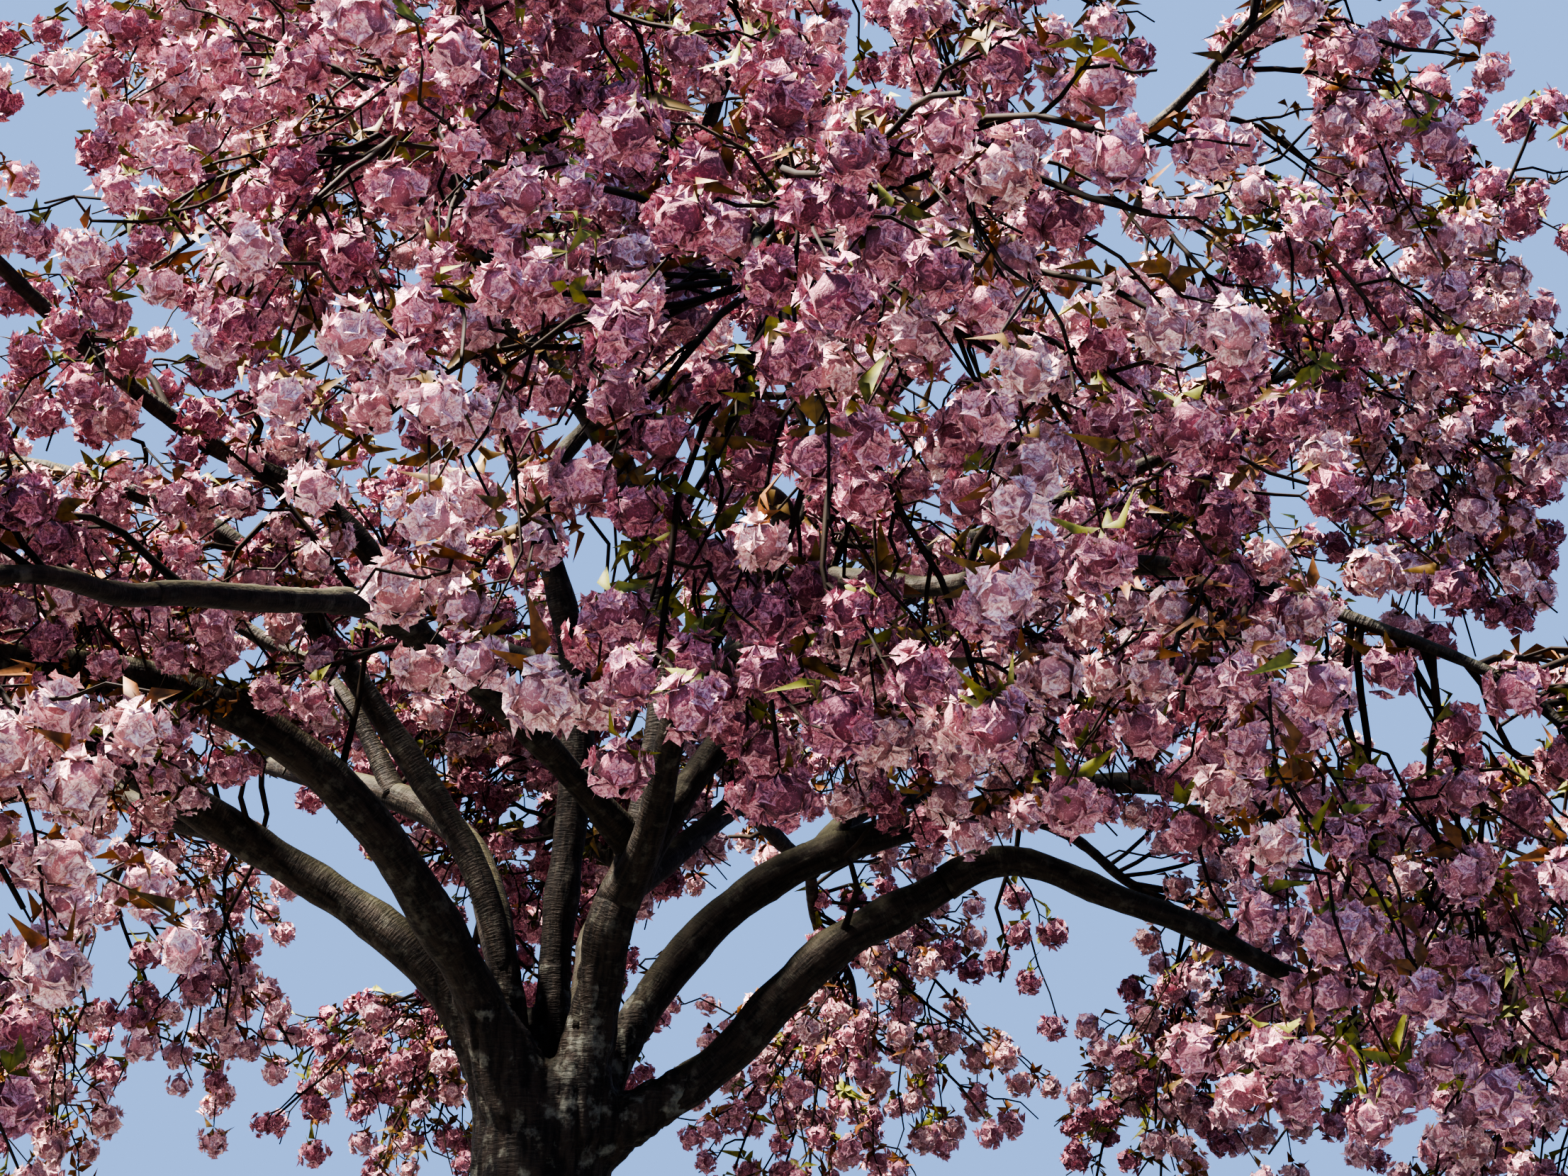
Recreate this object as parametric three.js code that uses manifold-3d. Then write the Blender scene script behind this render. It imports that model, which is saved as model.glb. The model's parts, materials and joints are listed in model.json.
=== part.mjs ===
// A double-flowered Japanese cherry in full bloom. A short trunk opens at head height into a fan of
// boughs. They arch outwards to a wide, low crown of blossom, whose rim hangs down round a hollow inside.
// The flat cut under the trunk lies at Z = 0 round the origin. X runs to the right and Y away from the front.
import * as THREE from "three";
import { mergeVertices } from "three/addons/utils/BufferGeometryUtils.js";
import Module from "manifold-3d";

const wasm = await Module();
wasm.setup();

// Sizes are in millimetres and angles in degrees. An azimuth is counted from +X towards +Y.
const jointGap = 0.3;
const goldenAngle = 137.508;
const goldenShare = 0.618;

// Trunk: height and radius, from the cut at the ground up to the rounded top of the knuckle.
const trunkProfile = [
  [0, 330],
  [60, 296],
  [160, 262],
  [320, 238],
  [600, 222],
  [1000, 211],
  [1400, 206],
  [1650, 212],
  [1820, 236],
  [1960, 256],
  [2060, 226],
  [2120, 120],
];
const trunkTop = trunkProfile.at(-1)[0];
const trunkCrown = 20;
const trunkSides = 16;
const trunkLean = 30;
const rootLobes = 5;
const rootLobeShare = 0.17;
const rootLobeHeight = 260;
const rootLobeTurn = 0.6;
const flutes = 3;
const fluteShare = 0.035;
const fluteRise = 420;
const footOut = 105;

// Limbs: how the centreline, the taper and the solid are worked out.
const pathSteps = 12;
const pathSlack = 0.01;
const wayWindow = 40;
const handleShare = 0.38;
const swayShare = 0.03;
const swayTurns = 9;
const swayRises = 7;
const taperPower = 0.85;
const swellingShare = 0.3;
const swellingLength = 1.8;
const boughSides = 6;
const branchSides = 5;
const branchRadius = 45;
const limbStepLength = 350;
const collarStep = 10;
const touchMargin = 8;
const surfaceTolerance = 0.1;

// Crown: even rings of masses and one on the crest. Out runs from the trunk's axis to a mass's middle.
const tiers = [
  tier("rim", { count: 12, first: -108, out: 3300, height: 2600, width: 900, tall: 1120 }, -58, 9),
  tier("shoulder", { count: 9, first: -90, out: 2520, height: 4180, width: 980, tall: 940 }, 12, 9),
  tier("top", { count: 4, first: -45, out: 1000, height: 5300, width: 1050, tall: 940 }, 50, 9),
  tier("inner", { count: 3, first: -25, out: 1500, height: 3350, width: 800, tall: 720 }, -12, 6),
  tier("crest", { count: 1, first: 52, out: 60, height: 5480, width: 760, tall: 800 }, 80, 6),
];
const frontAzimuth = -78;
const frontWindow = 24;
const frontLift = 820;
const spaceMargin = 12;
const outlineShare = 1.18;
const lowestBlossom = 1250;

// Stem, twigs, blossom and leaves of a mass. One clump stands for a group of pompoms, one leaf for a spray.
const stemSides = 5;
const stemStepLength = 400;
const stemReach = 0.45;
const spurRadius = 20;
const spurClimb = 60;
const stemTipRadius = 9;
const twigTries = 110;
const twigSides = 3;
const twigRadius = 9;
const twigTipRadius = 5;
const twigOpening = 68;
const twigOpeningSpread = 16;
const twigTurnSpread = 40;
const twigDroop = 0.32;
const firstTwigShare = 0.3;
const twigReach = 0.78;
const twigReachSpread = 0.3;
const shortenings = [1, 0.8, 0.62, 0.46];
const clumpRadius = 300;
const clumpSpread = 0.2;
const clumpNearness = 0.82;
const clumpShape = [1.12, 1, 0.86];
const midClumpShare = 0.5;
const midClumpSize = 0.85;
const leafChance = 0.3;
const leafClimb = 25;
const leafLength = 260;
const leafWidth = 92;
const leafThickness = 9;
const leafRootDepth = 0.72;

const limbSeed = 100;
const stemSeed = 300;
const massSeed = 500;

// Boughs and their branches: name, parent, the share of the parent's length at the foot, azimuth and climb
// at the foot, azimuth, distance out and height of the tip, climb at the tip, radius at the foot and the tip.
// For a bough, the share is of the trunk's height.
const limbs = [
  limb("left_bough", "trunk", 0.87, [178, 68], [189.7, 2384, 2800], -24, [72, 30]),
  limb("left_rear_branch", "left_bough", 0.45, [150, 14], [163, 2404, 2850], -12, [42, 24]),
  limb("front_left_bough", "trunk", 0.88, [-124, 70], [223.3, 2334, 2850], -18, [80, 30]),
  limb("rear_left_bough", "trunk", 0.88, [125, 76], [131.4, 2267, 3150], -12, [62, 28]),
  limb("rear_left_riser", "rear_left_bough", 0.5, [150, 65], [147.8, 1760, 3760], 22, [34, 22]),
  limb("left_upright_bough", "trunk", 0.92, [165, 88], [186, 1700, 3840], 12, [50, 26]),
  limb("rear_upright_bough", "trunk", 0.9, [80, 84], [128, 520, 4680], 55, [62, 26]),
  limb("rear_upright_fork", "rear_upright_bough", 0.66, [45, 60], [48, 640, 4680], 52, [34, 22]),
  limb("rear_shoulder_branch", "rear_upright_bough", 0.42, [110, 45], [109.7, 1680, 3760], 24, [36, 22]),
  limb("front_bough", "trunk", 0.84, [-42, 76], [-29, 420, 2880], 76, [82, 60]),
  limb("front_left_arch", "front_bough", 0.76, [-150, 42], [-105.1, 2382, 2850], -20, [48, 26]),
  limb("front_left_riser", "front_left_arch", 0.4, [-140, 60], [-129, 1720, 3760], 26, [34, 22]),
  limb("leader", "front_bough", 1, [0, 0], [-128, 480, 4680], 55, [58, 26]),
  limb("leader_fork", "leader", 0.62, [-40, 62], [-43, 600, 4680], 55, [34, 22]),
  limb("front_shoulder_branch", "leader", 0.3, [-90, 42], [-89, 1560, 3820], 22, [36, 22]),
  limb("right_rising_limb", "front_bough", 0.7, [35, 52], [24, 1700, 3760], 12, [50, 26]),
  limb("right_shoulder_branch", "right_rising_limb", 0.55, [-25, 35], [-7, 1720, 3760], 20, [34, 22]),
  limb("front_right_limb", "front_bough", 0.62, [-60, 46], [-50, 1700, 3740], 24, [50, 26]),
  limb("front_branch", "front_right_limb", 0.62, [-85, 18], [-72.8, 2303, 3400], 0, [34, 22]),
  limb("front_right_arch", "front_right_limb", 0.36, [-52, 22], [-56.7, 2274, 3000], -12, [38, 24]),
  limb("right_bough", "trunk", 0.87, [24, 58], [14.9, 2329, 2900], -14, [70, 30]),
  limb("right_rear_branch", "right_bough", 0.42, [60, 26], [43.3, 2334, 3000], -8, [42, 24]),
  limb("low_right_bough", "trunk", 0.82, [-8, 30], [-4.6, 1244, 2520], 30, [74, 52]),
  limb("low_right_arch", "low_right_bough", 1, [0, 0], [-6.5, 2214, 2250], -24, [52, 28]),
  limb("rear_bough", "trunk", 0.87, [76, 62], [71.6, 2372, 3000], -12, [64, 30]),
  limb("rear_branch", "rear_bough", 0.45, [120, 20], [101.1, 2344, 3000], -8, [42, 24]),
  limb("rear_riser", "rear_bough", 0.4, [70, 68], [69, 1700, 3760], 26, [34, 22]),
];

// The limb that bears each mass, in the order of its tier: at its tip, or on a spur for inner and crest.
const tipBearers = {
  rim: [
    "front_left_arch",
    "front_branch",
    "front_right_arch",
    "low_right_arch",
    "right_bough",
    "right_rear_branch",
    "rear_bough",
    "rear_branch",
    "rear_left_bough",
    "left_rear_branch",
    "left_bough",
    "front_left_bough",
  ],
  shoulder: [
    "front_shoulder_branch",
    "front_right_limb",
    "right_shoulder_branch",
    "right_rising_limb",
    "rear_riser",
    "rear_shoulder_branch",
    "rear_left_riser",
    "left_upright_bough",
    "front_left_riser",
  ],
  top: ["leader_fork", "rear_upright_fork", "rear_upright_bough", "leader"],
  inner: ["right_bough", "rear_bough", "left_bough"],
  crest: ["leader"],
};
const spurShares = { inner: [0.45, 0.5, 0.55], crest: [0.88] };

const trunkMaterial = new THREE.MeshStandardMaterial({ color: 0x4b4238, roughness: 0.92, metalness: 0 });
const boughMaterial = new THREE.MeshStandardMaterial({ color: 0x57493b, roughness: 0.85, metalness: 0 });
const blossomMaterial = new THREE.MeshStandardMaterial({ color: 0xdd97b8, roughness: 0.8, metalness: 0 });

// One ring of masses, with the climb of a stem where it ends and the number of clumps in a mass.
function tier(name, sizes, stemClimb, clumps) {
  return { name, ...sizes, stemClimb, clumps };
}

// One row of the list of limbs, with a name for each of its values.
function limb(name, parent, at, [turn, climb], [azimuth, out, height], tipClimb, [radius, tipRadius]) {
  return { name, parent, at, turn, climb, azimuth, out, height, tipClimb, radius, tipRadius };
}

function radians(degrees) {
  return (degrees * Math.PI) / 180;
}

function polar(azimuth, out, height) {
  const angle = radians(azimuth);
  return new THREE.Vector3(out * Math.cos(angle), out * Math.sin(angle), height);
}

// The unit vector that points along an azimuth and climbs by an angle.
function heading(azimuth, climb) {
  return polar(azimuth, Math.cos(radians(climb)), Math.sin(radians(climb)));
}

// Numbers from 0 to 1 that are the same on every run.
function seeded(seed) {
  let state = seed >>> 0;
  return () => {
    state = (state + 0x6d2b79f5) >>> 0;
    let mixed = Math.imul(state ^ (state >>> 15), state | 1);
    mixed ^= mixed + Math.imul(mixed ^ (mixed >>> 7), mixed | 61);
    return ((mixed ^ (mixed >>> 14)) >>> 0) / 4294967296;
  };
}

// The level direction square to the run from one place to another.
function squareTo(start, end) {
  const level = Math.atan2(end.y - start.y, end.x - start.x);
  return new THREE.Vector3(-Math.sin(level), Math.cos(level), 0);
}

// A centreline through points, read by the distance along it.
class Path {
  constructor(points, startWay, endWay) {
    this.points = points;
    this.startWay = startWay;
    this.endWay = endWay;
    this.across = squareTo(points[0], points.at(-1));
    this.distances = [0];
    for (let i = 1; i < points.length; i += 1) {
      this.distances.push(this.distances[i - 1] + points[i].distanceTo(points[i - 1]));
    }
    this.length = this.distances.at(-1);
  }

  point(distance) {
    let i = 1;
    while (i < this.points.length - 1 && this.distances[i] < distance) i += 1;
    const share = (distance - this.distances[i - 1]) / (this.distances[i] - this.distances[i - 1]);
    return this.points[i - 1].clone().lerp(this.points[i], share);
  }

  way(distance) {
    if (distance < pathSlack) return this.startWay.clone();
    if (distance > this.length - pathSlack) return this.endWay.clone();
    const step = this.length / wayWindow;
    const behind = this.point(Math.max(distance - step, 0));
    const ahead = this.point(Math.min(distance + step, this.length));
    return ahead.sub(behind).normalize();
  }

  // Two directions square to the path at a distance, the first of them nearly level.
  frame(distance) {
    const way = this.way(distance);
    const across = this.across.clone().addScaledVector(way, -way.dot(this.across)).normalize();
    return [across, across.clone().cross(way)];
  }
}

// A smooth arch from one place and heading to another, with a slight sway that dies out at both ends.
function arch(start, startWay, end, endWay, seed) {
  const reach = start.distanceTo(end);
  const curve = new THREE.CubicBezierCurve3(
    start,
    start.clone().addScaledVector(startWay, reach * handleShare),
    end.clone().addScaledVector(endWay, -reach * handleShare),
    end,
  );
  const draw = seeded(seed);
  const turn = draw() * Math.PI * 2;
  const rise = draw() * Math.PI * 2;
  const across = squareTo(start, end);
  const points = curve.getPoints(pathSteps);
  points.forEach((point, k) => {
    const share = k / pathSteps;
    const amount = reach * swayShare * Math.sin(Math.PI * share);
    point.addScaledVector(across, amount * Math.sin(turn + share * swayTurns));
    point.z += amount * Math.sin(rise + share * swayRises);
  });
  return new Path(points, startWay, endWay);
}

// A limb's radius at a distance from its foot: an even taper, swollen at the foot where it leaves a side.
function taper(radius, tipRadius, length, swelling) {
  return (distance) => {
    const left = Math.max(1 - distance / length, 0) ** taperPower;
    const swollen = radius * swelling * Math.exp(-distance / (swellingLength * radius));
    return tipRadius + (radius - tipRadius) * left + swollen;
  };
}

// Leaves only the shared corners of a geometry.
function bare(geometry) {
  geometry.deleteAttribute("normal");
  geometry.deleteAttribute("uv");
  return mergeVertices(geometry, 1e-3);
}

// A closed tube round a stretch of a path. Its end faces are square to the path.
function tube(path, from, to, steps, sides, radiusAt) {
  const geometry = bare(new THREE.CylinderGeometry(1, 1, steps, sides, steps));
  const position = geometry.attributes.position;
  const corner = new THREE.Vector3();
  for (let i = 0; i < position.count; i += 1) {
    corner.fromBufferAttribute(position, i);
    const distance = from + ((to - from) * Math.round(corner.y + steps / 2)) / steps;
    const [across, upward] = path.frame(distance);
    const radius = radiusAt(distance);
    const place = path.point(distance);
    place.addScaledVector(across, corner.x * radius).addScaledVector(upward, corner.z * radius);
    position.setXYZ(i, place.x, place.y, place.z);
  }
  return geometry;
}

function solid(geometry) {
  return new wasm.Manifold(
    new wasm.Mesh({
      numProp: 3,
      vertProperties: new Float32Array(geometry.attributes.position.array),
      triVerts: new Uint32Array(geometry.index.array),
    }),
  );
}

// Joins closed shapes into one body. A sealed hollow is filled and a loose scrap is dropped.
function fused(geometries) {
  const bodies = wasm.Manifold.union(geometries.map(solid)).decompose();
  const volumes = bodies.map((body) => body.volume());
  const main = bodies[volumes.indexOf(Math.max(...volumes))];
  const mesh = main.simplify(surfaceTolerance).getMesh();
  const geometry = new THREE.BufferGeometry();
  geometry.setAttribute("position", new THREE.BufferAttribute(new Float32Array(mesh.vertProperties), 3));
  geometry.setIndex(new THREE.BufferAttribute(new Uint32Array(mesh.triVerts), 1));
  return geometry;
}

function trunkOffset(height) {
  return (trunkLean * height) / trunkTop;
}

function trunkRadius(height) {
  const above = trunkProfile.findIndex(([level]) => level > height);
  if (above < 1) return above === 0 ? trunkProfile[0][1] : 0;
  const [[low, lowRadius], [high, highRadius]] = trunkProfile.slice(above - 1, above + 1);
  return lowRadius + ((highRadius - lowRadius) * (height - low)) / (high - low);
}

// The trunk's own body: a turned profile with root lobes at the foot, shallow flutes and a slight lean.
function trunkBody() {
  const outline = [new THREE.Vector2(0, 0)];
  trunkProfile.forEach(([height, radius]) => outline.push(new THREE.Vector2(radius, height)));
  outline.push(new THREE.Vector2(0, trunkTop + trunkCrown));
  const geometry = bare(new THREE.LatheGeometry(outline, trunkSides).rotateX(Math.PI / 2));
  const position = geometry.attributes.position;
  for (let i = 0; i < position.count; i += 1) {
    const height = position.getZ(i);
    const angle = Math.atan2(position.getY(i), position.getX(i));
    const lobeFade = Math.exp(-height / rootLobeHeight);
    const lobe = rootLobeShare * lobeFade * Math.cos(rootLobes * angle + rootLobeTurn);
    const flute = fluteShare * Math.cos(flutes * angle + height / fluteRise);
    const share = 1 + lobe + flute;
    position.setX(i, position.getX(i) * share + trunkOffset(height));
    position.setY(i, position.getY(i) * share);
  }
  return geometry;
}

// The least distance between two straight lines, each given by its two ends.
function lineGap(a, b, c, d) {
  const first = b.clone().sub(a);
  const second = d.clone().sub(c);
  const between = a.clone().sub(c);
  const firstSquare = first.dot(first);
  const secondSquare = second.dot(second);
  const mixed = first.dot(second);
  const along = second.dot(between);
  const back = first.dot(between);
  const scale = firstSquare * secondSquare - mixed * mixed;
  let s = scale > 1e-9 ? THREE.MathUtils.clamp((mixed * along - back * secondSquare) / scale, 0, 1) : 0;
  let t = (mixed * s + along) / secondSquare;
  if (t < 0 || t > 1) {
    t = THREE.MathUtils.clamp(t, 0, 1);
    s = firstSquare > 1e-9 ? THREE.MathUtils.clamp((mixed * t - back) / firstSquare, 0, 1) : 0;
  }
  return a.clone().addScaledVector(first, s).distanceTo(c.clone().addScaledVector(second, t));
}

// The room between a place and a limb's bark.
function roomBeside(place, limbOrStem) {
  const { path, radiusAt } = limbOrStem;
  const gaps = path.points.slice(1).map((end, i) => {
    return lineGap(place, place, path.points[i], end) - radiusAt(path.distances[i]);
  });
  return Math.min(...gaps);
}

function roomBesideTrunk(place) {
  if (place.z > trunkTop + trunkCrown) return place.z - trunkTop - trunkCrown;
  const aside = Math.hypot(place.x - trunkOffset(place.z), place.y);
  return aside - trunkRadius(place.z) * (1 + fluteShare);
}

// How far along its path a limb stays fused to its parent: up to where it is clear of the limbs beside it.
function collarLength(child, neighbours, besideTrunk) {
  let last = 0;
  for (let distance = 0; distance < child.path.length / 2; distance += collarStep) {
    const place = child.path.point(distance);
    const rooms = neighbours.map((other) => roomBeside(place, other));
    if (besideTrunk) rooms.push(roomBesideTrunk(place));
    if (Math.min(...rooms) < child.radiusAt(distance) + touchMargin) last = distance;
  }
  return last + collarStep;
}

const byName = new Map();

// Places a limb's centreline. A bough starts off the trunk's axis, and a branch on its parent's centreline.
function placeLimb(row, index) {
  const onTrunk = row.parent === "trunk";
  const end = polar(row.azimuth, row.out, row.height);
  const endWay = heading(row.azimuth, row.tipClimb);
  const start = polar(row.turn, footOut, row.at * trunkTop);
  let startWay = heading(row.turn, row.climb);
  if (onTrunk) {
    start.x += trunkOffset(start.z);
  } else {
    const parentPath = byName.get(row.parent).path;
    start.copy(parentPath.point(row.at * parentPath.length));
    if (row.at === 1) {
      startWay = parentPath.endWay;
      start.addScaledVector(startWay, jointGap);
    }
  }
  const path = arch(start, startWay, end, endWay, limbSeed + index);
  const swelling = row.at === 1 ? 0 : swellingShare;
  const radiusAt = taper(row.radius, row.tipRadius, path.length, swelling);
  const sides = row.radius > branchRadius ? boughSides : branchSides;
  byName.set(row.name, { ...row, path, radiusAt, sides, collar: 0 });
}

limbs.forEach(placeLimb);
const placedLimbs = [...byName.values()];
const boughs = placedLimbs.filter((placed) => placed.parent === "trunk");

for (const placed of placedLimbs) {
  if (placed.parent === "trunk") {
    const others = boughs.filter((other) => other !== placed);
    placed.collar = collarLength(placed, others, true);
  } else if (placed.at < 1) {
    placed.collar = collarLength(placed, [byName.get(placed.parent)], false);
  }
}

// A mass's stem: from its limb's tip, or from a spur on the limb's side, into the middle of its own space.
function placeMass(ring, i) {
  const azimuth = ring.first + (360 / ring.count) * i;
  const aside = (azimuth - frontAzimuth) / frontWindow;
  const lift = ring.name === "rim" ? frontLift * Math.exp(-(aside ** 2)) : 0;
  const centre = polar(azimuth, ring.out, ring.height + lift);
  const bearer = byName.get(tipBearers[ring.name][i]);
  const spurShare = spurShares[ring.name]?.[i];
  const endWay = heading(azimuth, ring.stemClimb);
  const end = centre.clone().addScaledVector(endWay, ring.width * stemReach);
  const start = bearer.path.point((spurShare ?? 1) * bearer.path.length);
  const startWay = spurShare ? heading(azimuth, spurClimb) : bearer.path.endWay;
  if (!spurShare) start.addScaledVector(startWay, jointGap);
  const order = tiers.slice(0, tiers.indexOf(ring)).reduce((sum, other) => sum + other.count, i);
  const path = arch(start, startWay, end, endWay, stemSeed + order);
  const radiusAt = taper(spurShare ? spurRadius : bearer.tipRadius, stemTipRadius, path.length, 0);
  const mass = { tier: ring, centre, path, radiusAt, bearer: bearer.name, sides: stemSides, order };
  mass.name = `${ring.name}_blossom_${String(i + 1).padStart(2, "0")}`;
  mass.collar = spurShare ? collarLength(mass, [bearer], false) : 0;
  return mass;
}

const masses = tiers.flatMap((ring) => Array.from({ length: ring.count }, (_, i) => placeMass(ring, i)));

// Everything that a twig or a clump must keep clear of, as short straight rods.
const rods = [...placedLimbs, ...masses].flatMap((owner) =>
  owner.path.points.slice(1).map((end, i) => ({
    owner: owner.name,
    start: owner.path.points[i],
    end,
    radius: owner.radiusAt(owner.path.distances[i]),
  })),
);

// True where a ball lies in the mass's rounded outline and nearer to its middle than to any other mass's.
function inSpace(mass, place, radius) {
  if (place.z - radius < lowestBlossom) return false;
  const out = place.clone().sub(mass.centre);
  const wide = Math.hypot(out.x, out.y) / mass.tier.width;
  const tall = out.z / mass.tier.tall;
  if (Math.hypot(wide, tall) + radius / mass.tier.width > outlineShare) return false;
  return masses.every((other) => {
    if (other === mass) return true;
    const apart = other.centre.distanceTo(mass.centre);
    const nearer = place.distanceToSquared(other.centre) - place.distanceToSquared(mass.centre);
    return nearer / (2 * apart) >= radius + spaceMargin;
  });
}

// True where a straight rod ends in the mass's own space and touches no limb and no other mass's stem.
function rodFits(mass, start, end, radius) {
  if (!inSpace(mass, end, radius)) return false;
  return rods.every((rod) => {
    if (rod.owner === mass.name) return true;
    return lineGap(start, end, rod.start, rod.end) >= radius + rod.radius + touchMargin;
  });
}

// Turns a geometry so that its X axis follows a way and its Y axis lies level, and puts it in its place.
function setAlong(geometry, place, way) {
  const across = new THREE.Vector3(0, 0, 1).cross(way).normalize();
  const facing = new THREE.Matrix4().makeBasis(way, across, way.clone().cross(across));
  return bare(geometry.applyMatrix4(facing).translate(place.x, place.y, place.z));
}

// A clump of blossom: a ball drawn out a little along its twig and flattened underneath.
function clump(place, way, radius, turn) {
  const ball = new THREE.IcosahedronGeometry(radius, 0);
  return setAlong(ball.rotateX(turn).scale(...clumpShape), place, way);
}

// A leaf blade of eight faces, with its root sunk into the clump that it grows from.
function leaf(root, way) {
  const blade = new THREE.OctahedronGeometry(1, 0);
  blade.scale(leafLength / 2, leafWidth / 2, leafThickness / 2);
  return setAlong(blade, root.clone().addScaledVector(way, leafLength * 0.4), way);
}

// Grows one mass: a stem, twigs that leave it by the golden angle and droop, and clumps with leaves on them.
class Growth {
  constructor(mass) {
    this.mass = mass;
    this.draw = seeded(massSeed + mass.order);
    this.clumps = [];
    const { path, radiusAt } = mass;
    const from = mass.collar ? mass.collar + jointGap : 0;
    const steps = Math.max(2, Math.round(path.length / stemStepLength));
    this.parts = [tube(path, from, path.length, steps, stemSides, radiusAt)];
    this.addClump(path.points.at(-1).clone(), path.endWay, clumpRadius);
    for (let k = 0; k < twigTries && this.clumps.length < mass.tier.clumps; k += 1) this.addTwig(k);
  }

  clumpFits(place, radius) {
    const crowded = this.clumps.some((other) => {
      return other.place.distanceTo(place) < (other.radius + radius) * clumpNearness;
    });
    return !crowded && rodFits(this.mass, place, place, radius);
  }

  addClump(place, way, radius) {
    const turn = this.draw() * Math.PI;
    const leafWay = heading(this.draw() * 360, leafClimb);
    const leafed = this.draw() < leafChance;
    if (!this.clumpFits(place, radius)) return;
    this.clumps.push({ place, radius });
    this.parts.push(clump(place, way, radius, turn));
    const root = place.clone().addScaledVector(leafWay, radius * leafRootDepth);
    const leafTip = root.clone().addScaledVector(leafWay, leafLength);
    if (leafed && rodFits(this.mass, root, leafTip, leafWidth / 2)) this.parts.push(leaf(root, leafWay));
  }

  addTwig(k) {
    const { path, tier: ring } = this.mass;
    const share = firstTwigShare + (1 - firstTwigShare) * (((k + 1) * goldenShare) % 1);
    const distance = path.length * share;
    const root = path.point(distance);
    const [across, upward] = path.frame(distance);
    const around = radians(goldenAngle * k + twigTurnSpread * this.draw());
    const opening = radians(twigOpening + twigOpeningSpread * (this.draw() - 0.5));
    const side = across.multiplyScalar(Math.cos(around)).addScaledVector(upward, Math.sin(around));
    const out = path.way(distance).multiplyScalar(Math.cos(opening)).addScaledVector(side, Math.sin(opening));
    const full = ((ring.width + ring.tall) / 2) * (twigReach + twigReachSpread * this.draw());
    const size = clumpRadius * (1 - clumpSpread + 2 * clumpSpread * this.draw());
    for (const shortening of shortenings) {
      const points = this.droopingTwig(root, out, full * shortening);
      if (!this.twigFits(points, size)) continue;
      const twig = new Path(points, out, points[2].clone().sub(points[1]).normalize());
      const radiusAt = (d) => twigRadius + ((twigTipRadius - twigRadius) * d) / twig.length;
      this.parts.push(tube(twig, 0, twig.length, 2, twigSides, radiusAt));
      this.addClump(points[2], twig.endWay, size);
      const middle = twig.length * midClumpShare;
      this.addClump(twig.point(middle), twig.way(middle), size * midClumpSize);
      return;
    }
  }

  droopingTwig(root, out, length) {
    return [0, 0.5, 1].map((share) => {
      const place = root.clone().addScaledVector(out, length * share);
      place.z -= length * twigDroop * share * share;
      return place;
    });
  }

  twigFits(points, size) {
    return (
      this.clumpFits(points[2], size) &&
      rodFits(this.mass, points[0], points[1], twigRadius) &&
      rodFits(this.mass, points[1], points[2], twigRadius)
    );
  }
}

// The short stretches of limbs and stems that are fused on the side of the trunk or a limb.
function collarsOf(name, steps) {
  const sideLimbs = placedLimbs.filter((child) => child.parent === name && child.collar);
  const sideMasses = masses.filter((mass) => mass.bearer === name && mass.collar);
  return [...sideLimbs, ...sideMasses].map((child) =>
    tube(child.path, 0, child.collar, steps, child.sides, child.radiusAt),
  );
}

function limbSolid({ name, path, collar, sides, radiusAt }) {
  const from = collar ? collar + jointGap : 0;
  const steps = Math.max(2, Math.round((path.length - from) / limbStepLength));
  return fused([tube(path, from, path.length, steps, sides, radiusAt), ...collarsOf(name, 1)]);
}

const tree = new THREE.Group();

function addPiece(name, geometry, material) {
  const mesh = new THREE.Mesh(geometry, material);
  mesh.name = name;
  tree.add(mesh);
}

addPiece("trunk", fused([trunkBody(), ...collarsOf("trunk", 2)]), trunkMaterial);
placedLimbs.forEach((placed) => addPiece(placed.name, limbSolid(placed), boughMaterial));
masses.forEach((mass) => addPiece(mass.name, fused(new Growth(mass).parts), blossomMaterial));

export default tree;
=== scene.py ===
"""A double-flowered Japanese cherry in full bloom: bark, twigs, young leaves and pompoms of blossom."""

import json
import logging
import math
from dataclasses import dataclass, field
from enum import Enum
from typing import Callable, Iterable

import bpy
import numpy as np
from bpy.types import Collection, ID, Material, Mesh, NodeSocket, NodeTree, Node, Object
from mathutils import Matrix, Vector

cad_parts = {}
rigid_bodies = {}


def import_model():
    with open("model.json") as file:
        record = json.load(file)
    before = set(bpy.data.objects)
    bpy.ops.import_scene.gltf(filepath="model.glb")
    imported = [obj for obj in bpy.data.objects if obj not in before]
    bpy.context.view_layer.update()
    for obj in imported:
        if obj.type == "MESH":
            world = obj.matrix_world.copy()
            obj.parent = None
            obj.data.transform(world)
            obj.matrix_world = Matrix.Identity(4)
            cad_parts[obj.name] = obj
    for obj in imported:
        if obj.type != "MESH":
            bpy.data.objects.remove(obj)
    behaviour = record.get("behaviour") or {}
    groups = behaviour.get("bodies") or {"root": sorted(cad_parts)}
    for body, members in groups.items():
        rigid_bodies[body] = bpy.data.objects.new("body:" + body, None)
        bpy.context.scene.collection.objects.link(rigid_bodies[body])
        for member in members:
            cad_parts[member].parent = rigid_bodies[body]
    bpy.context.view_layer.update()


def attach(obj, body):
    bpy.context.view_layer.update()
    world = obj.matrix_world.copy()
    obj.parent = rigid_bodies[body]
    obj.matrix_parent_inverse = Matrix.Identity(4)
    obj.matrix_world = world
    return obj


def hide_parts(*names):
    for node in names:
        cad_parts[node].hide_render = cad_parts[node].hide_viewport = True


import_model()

log = logging.getLogger("cherry")

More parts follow.
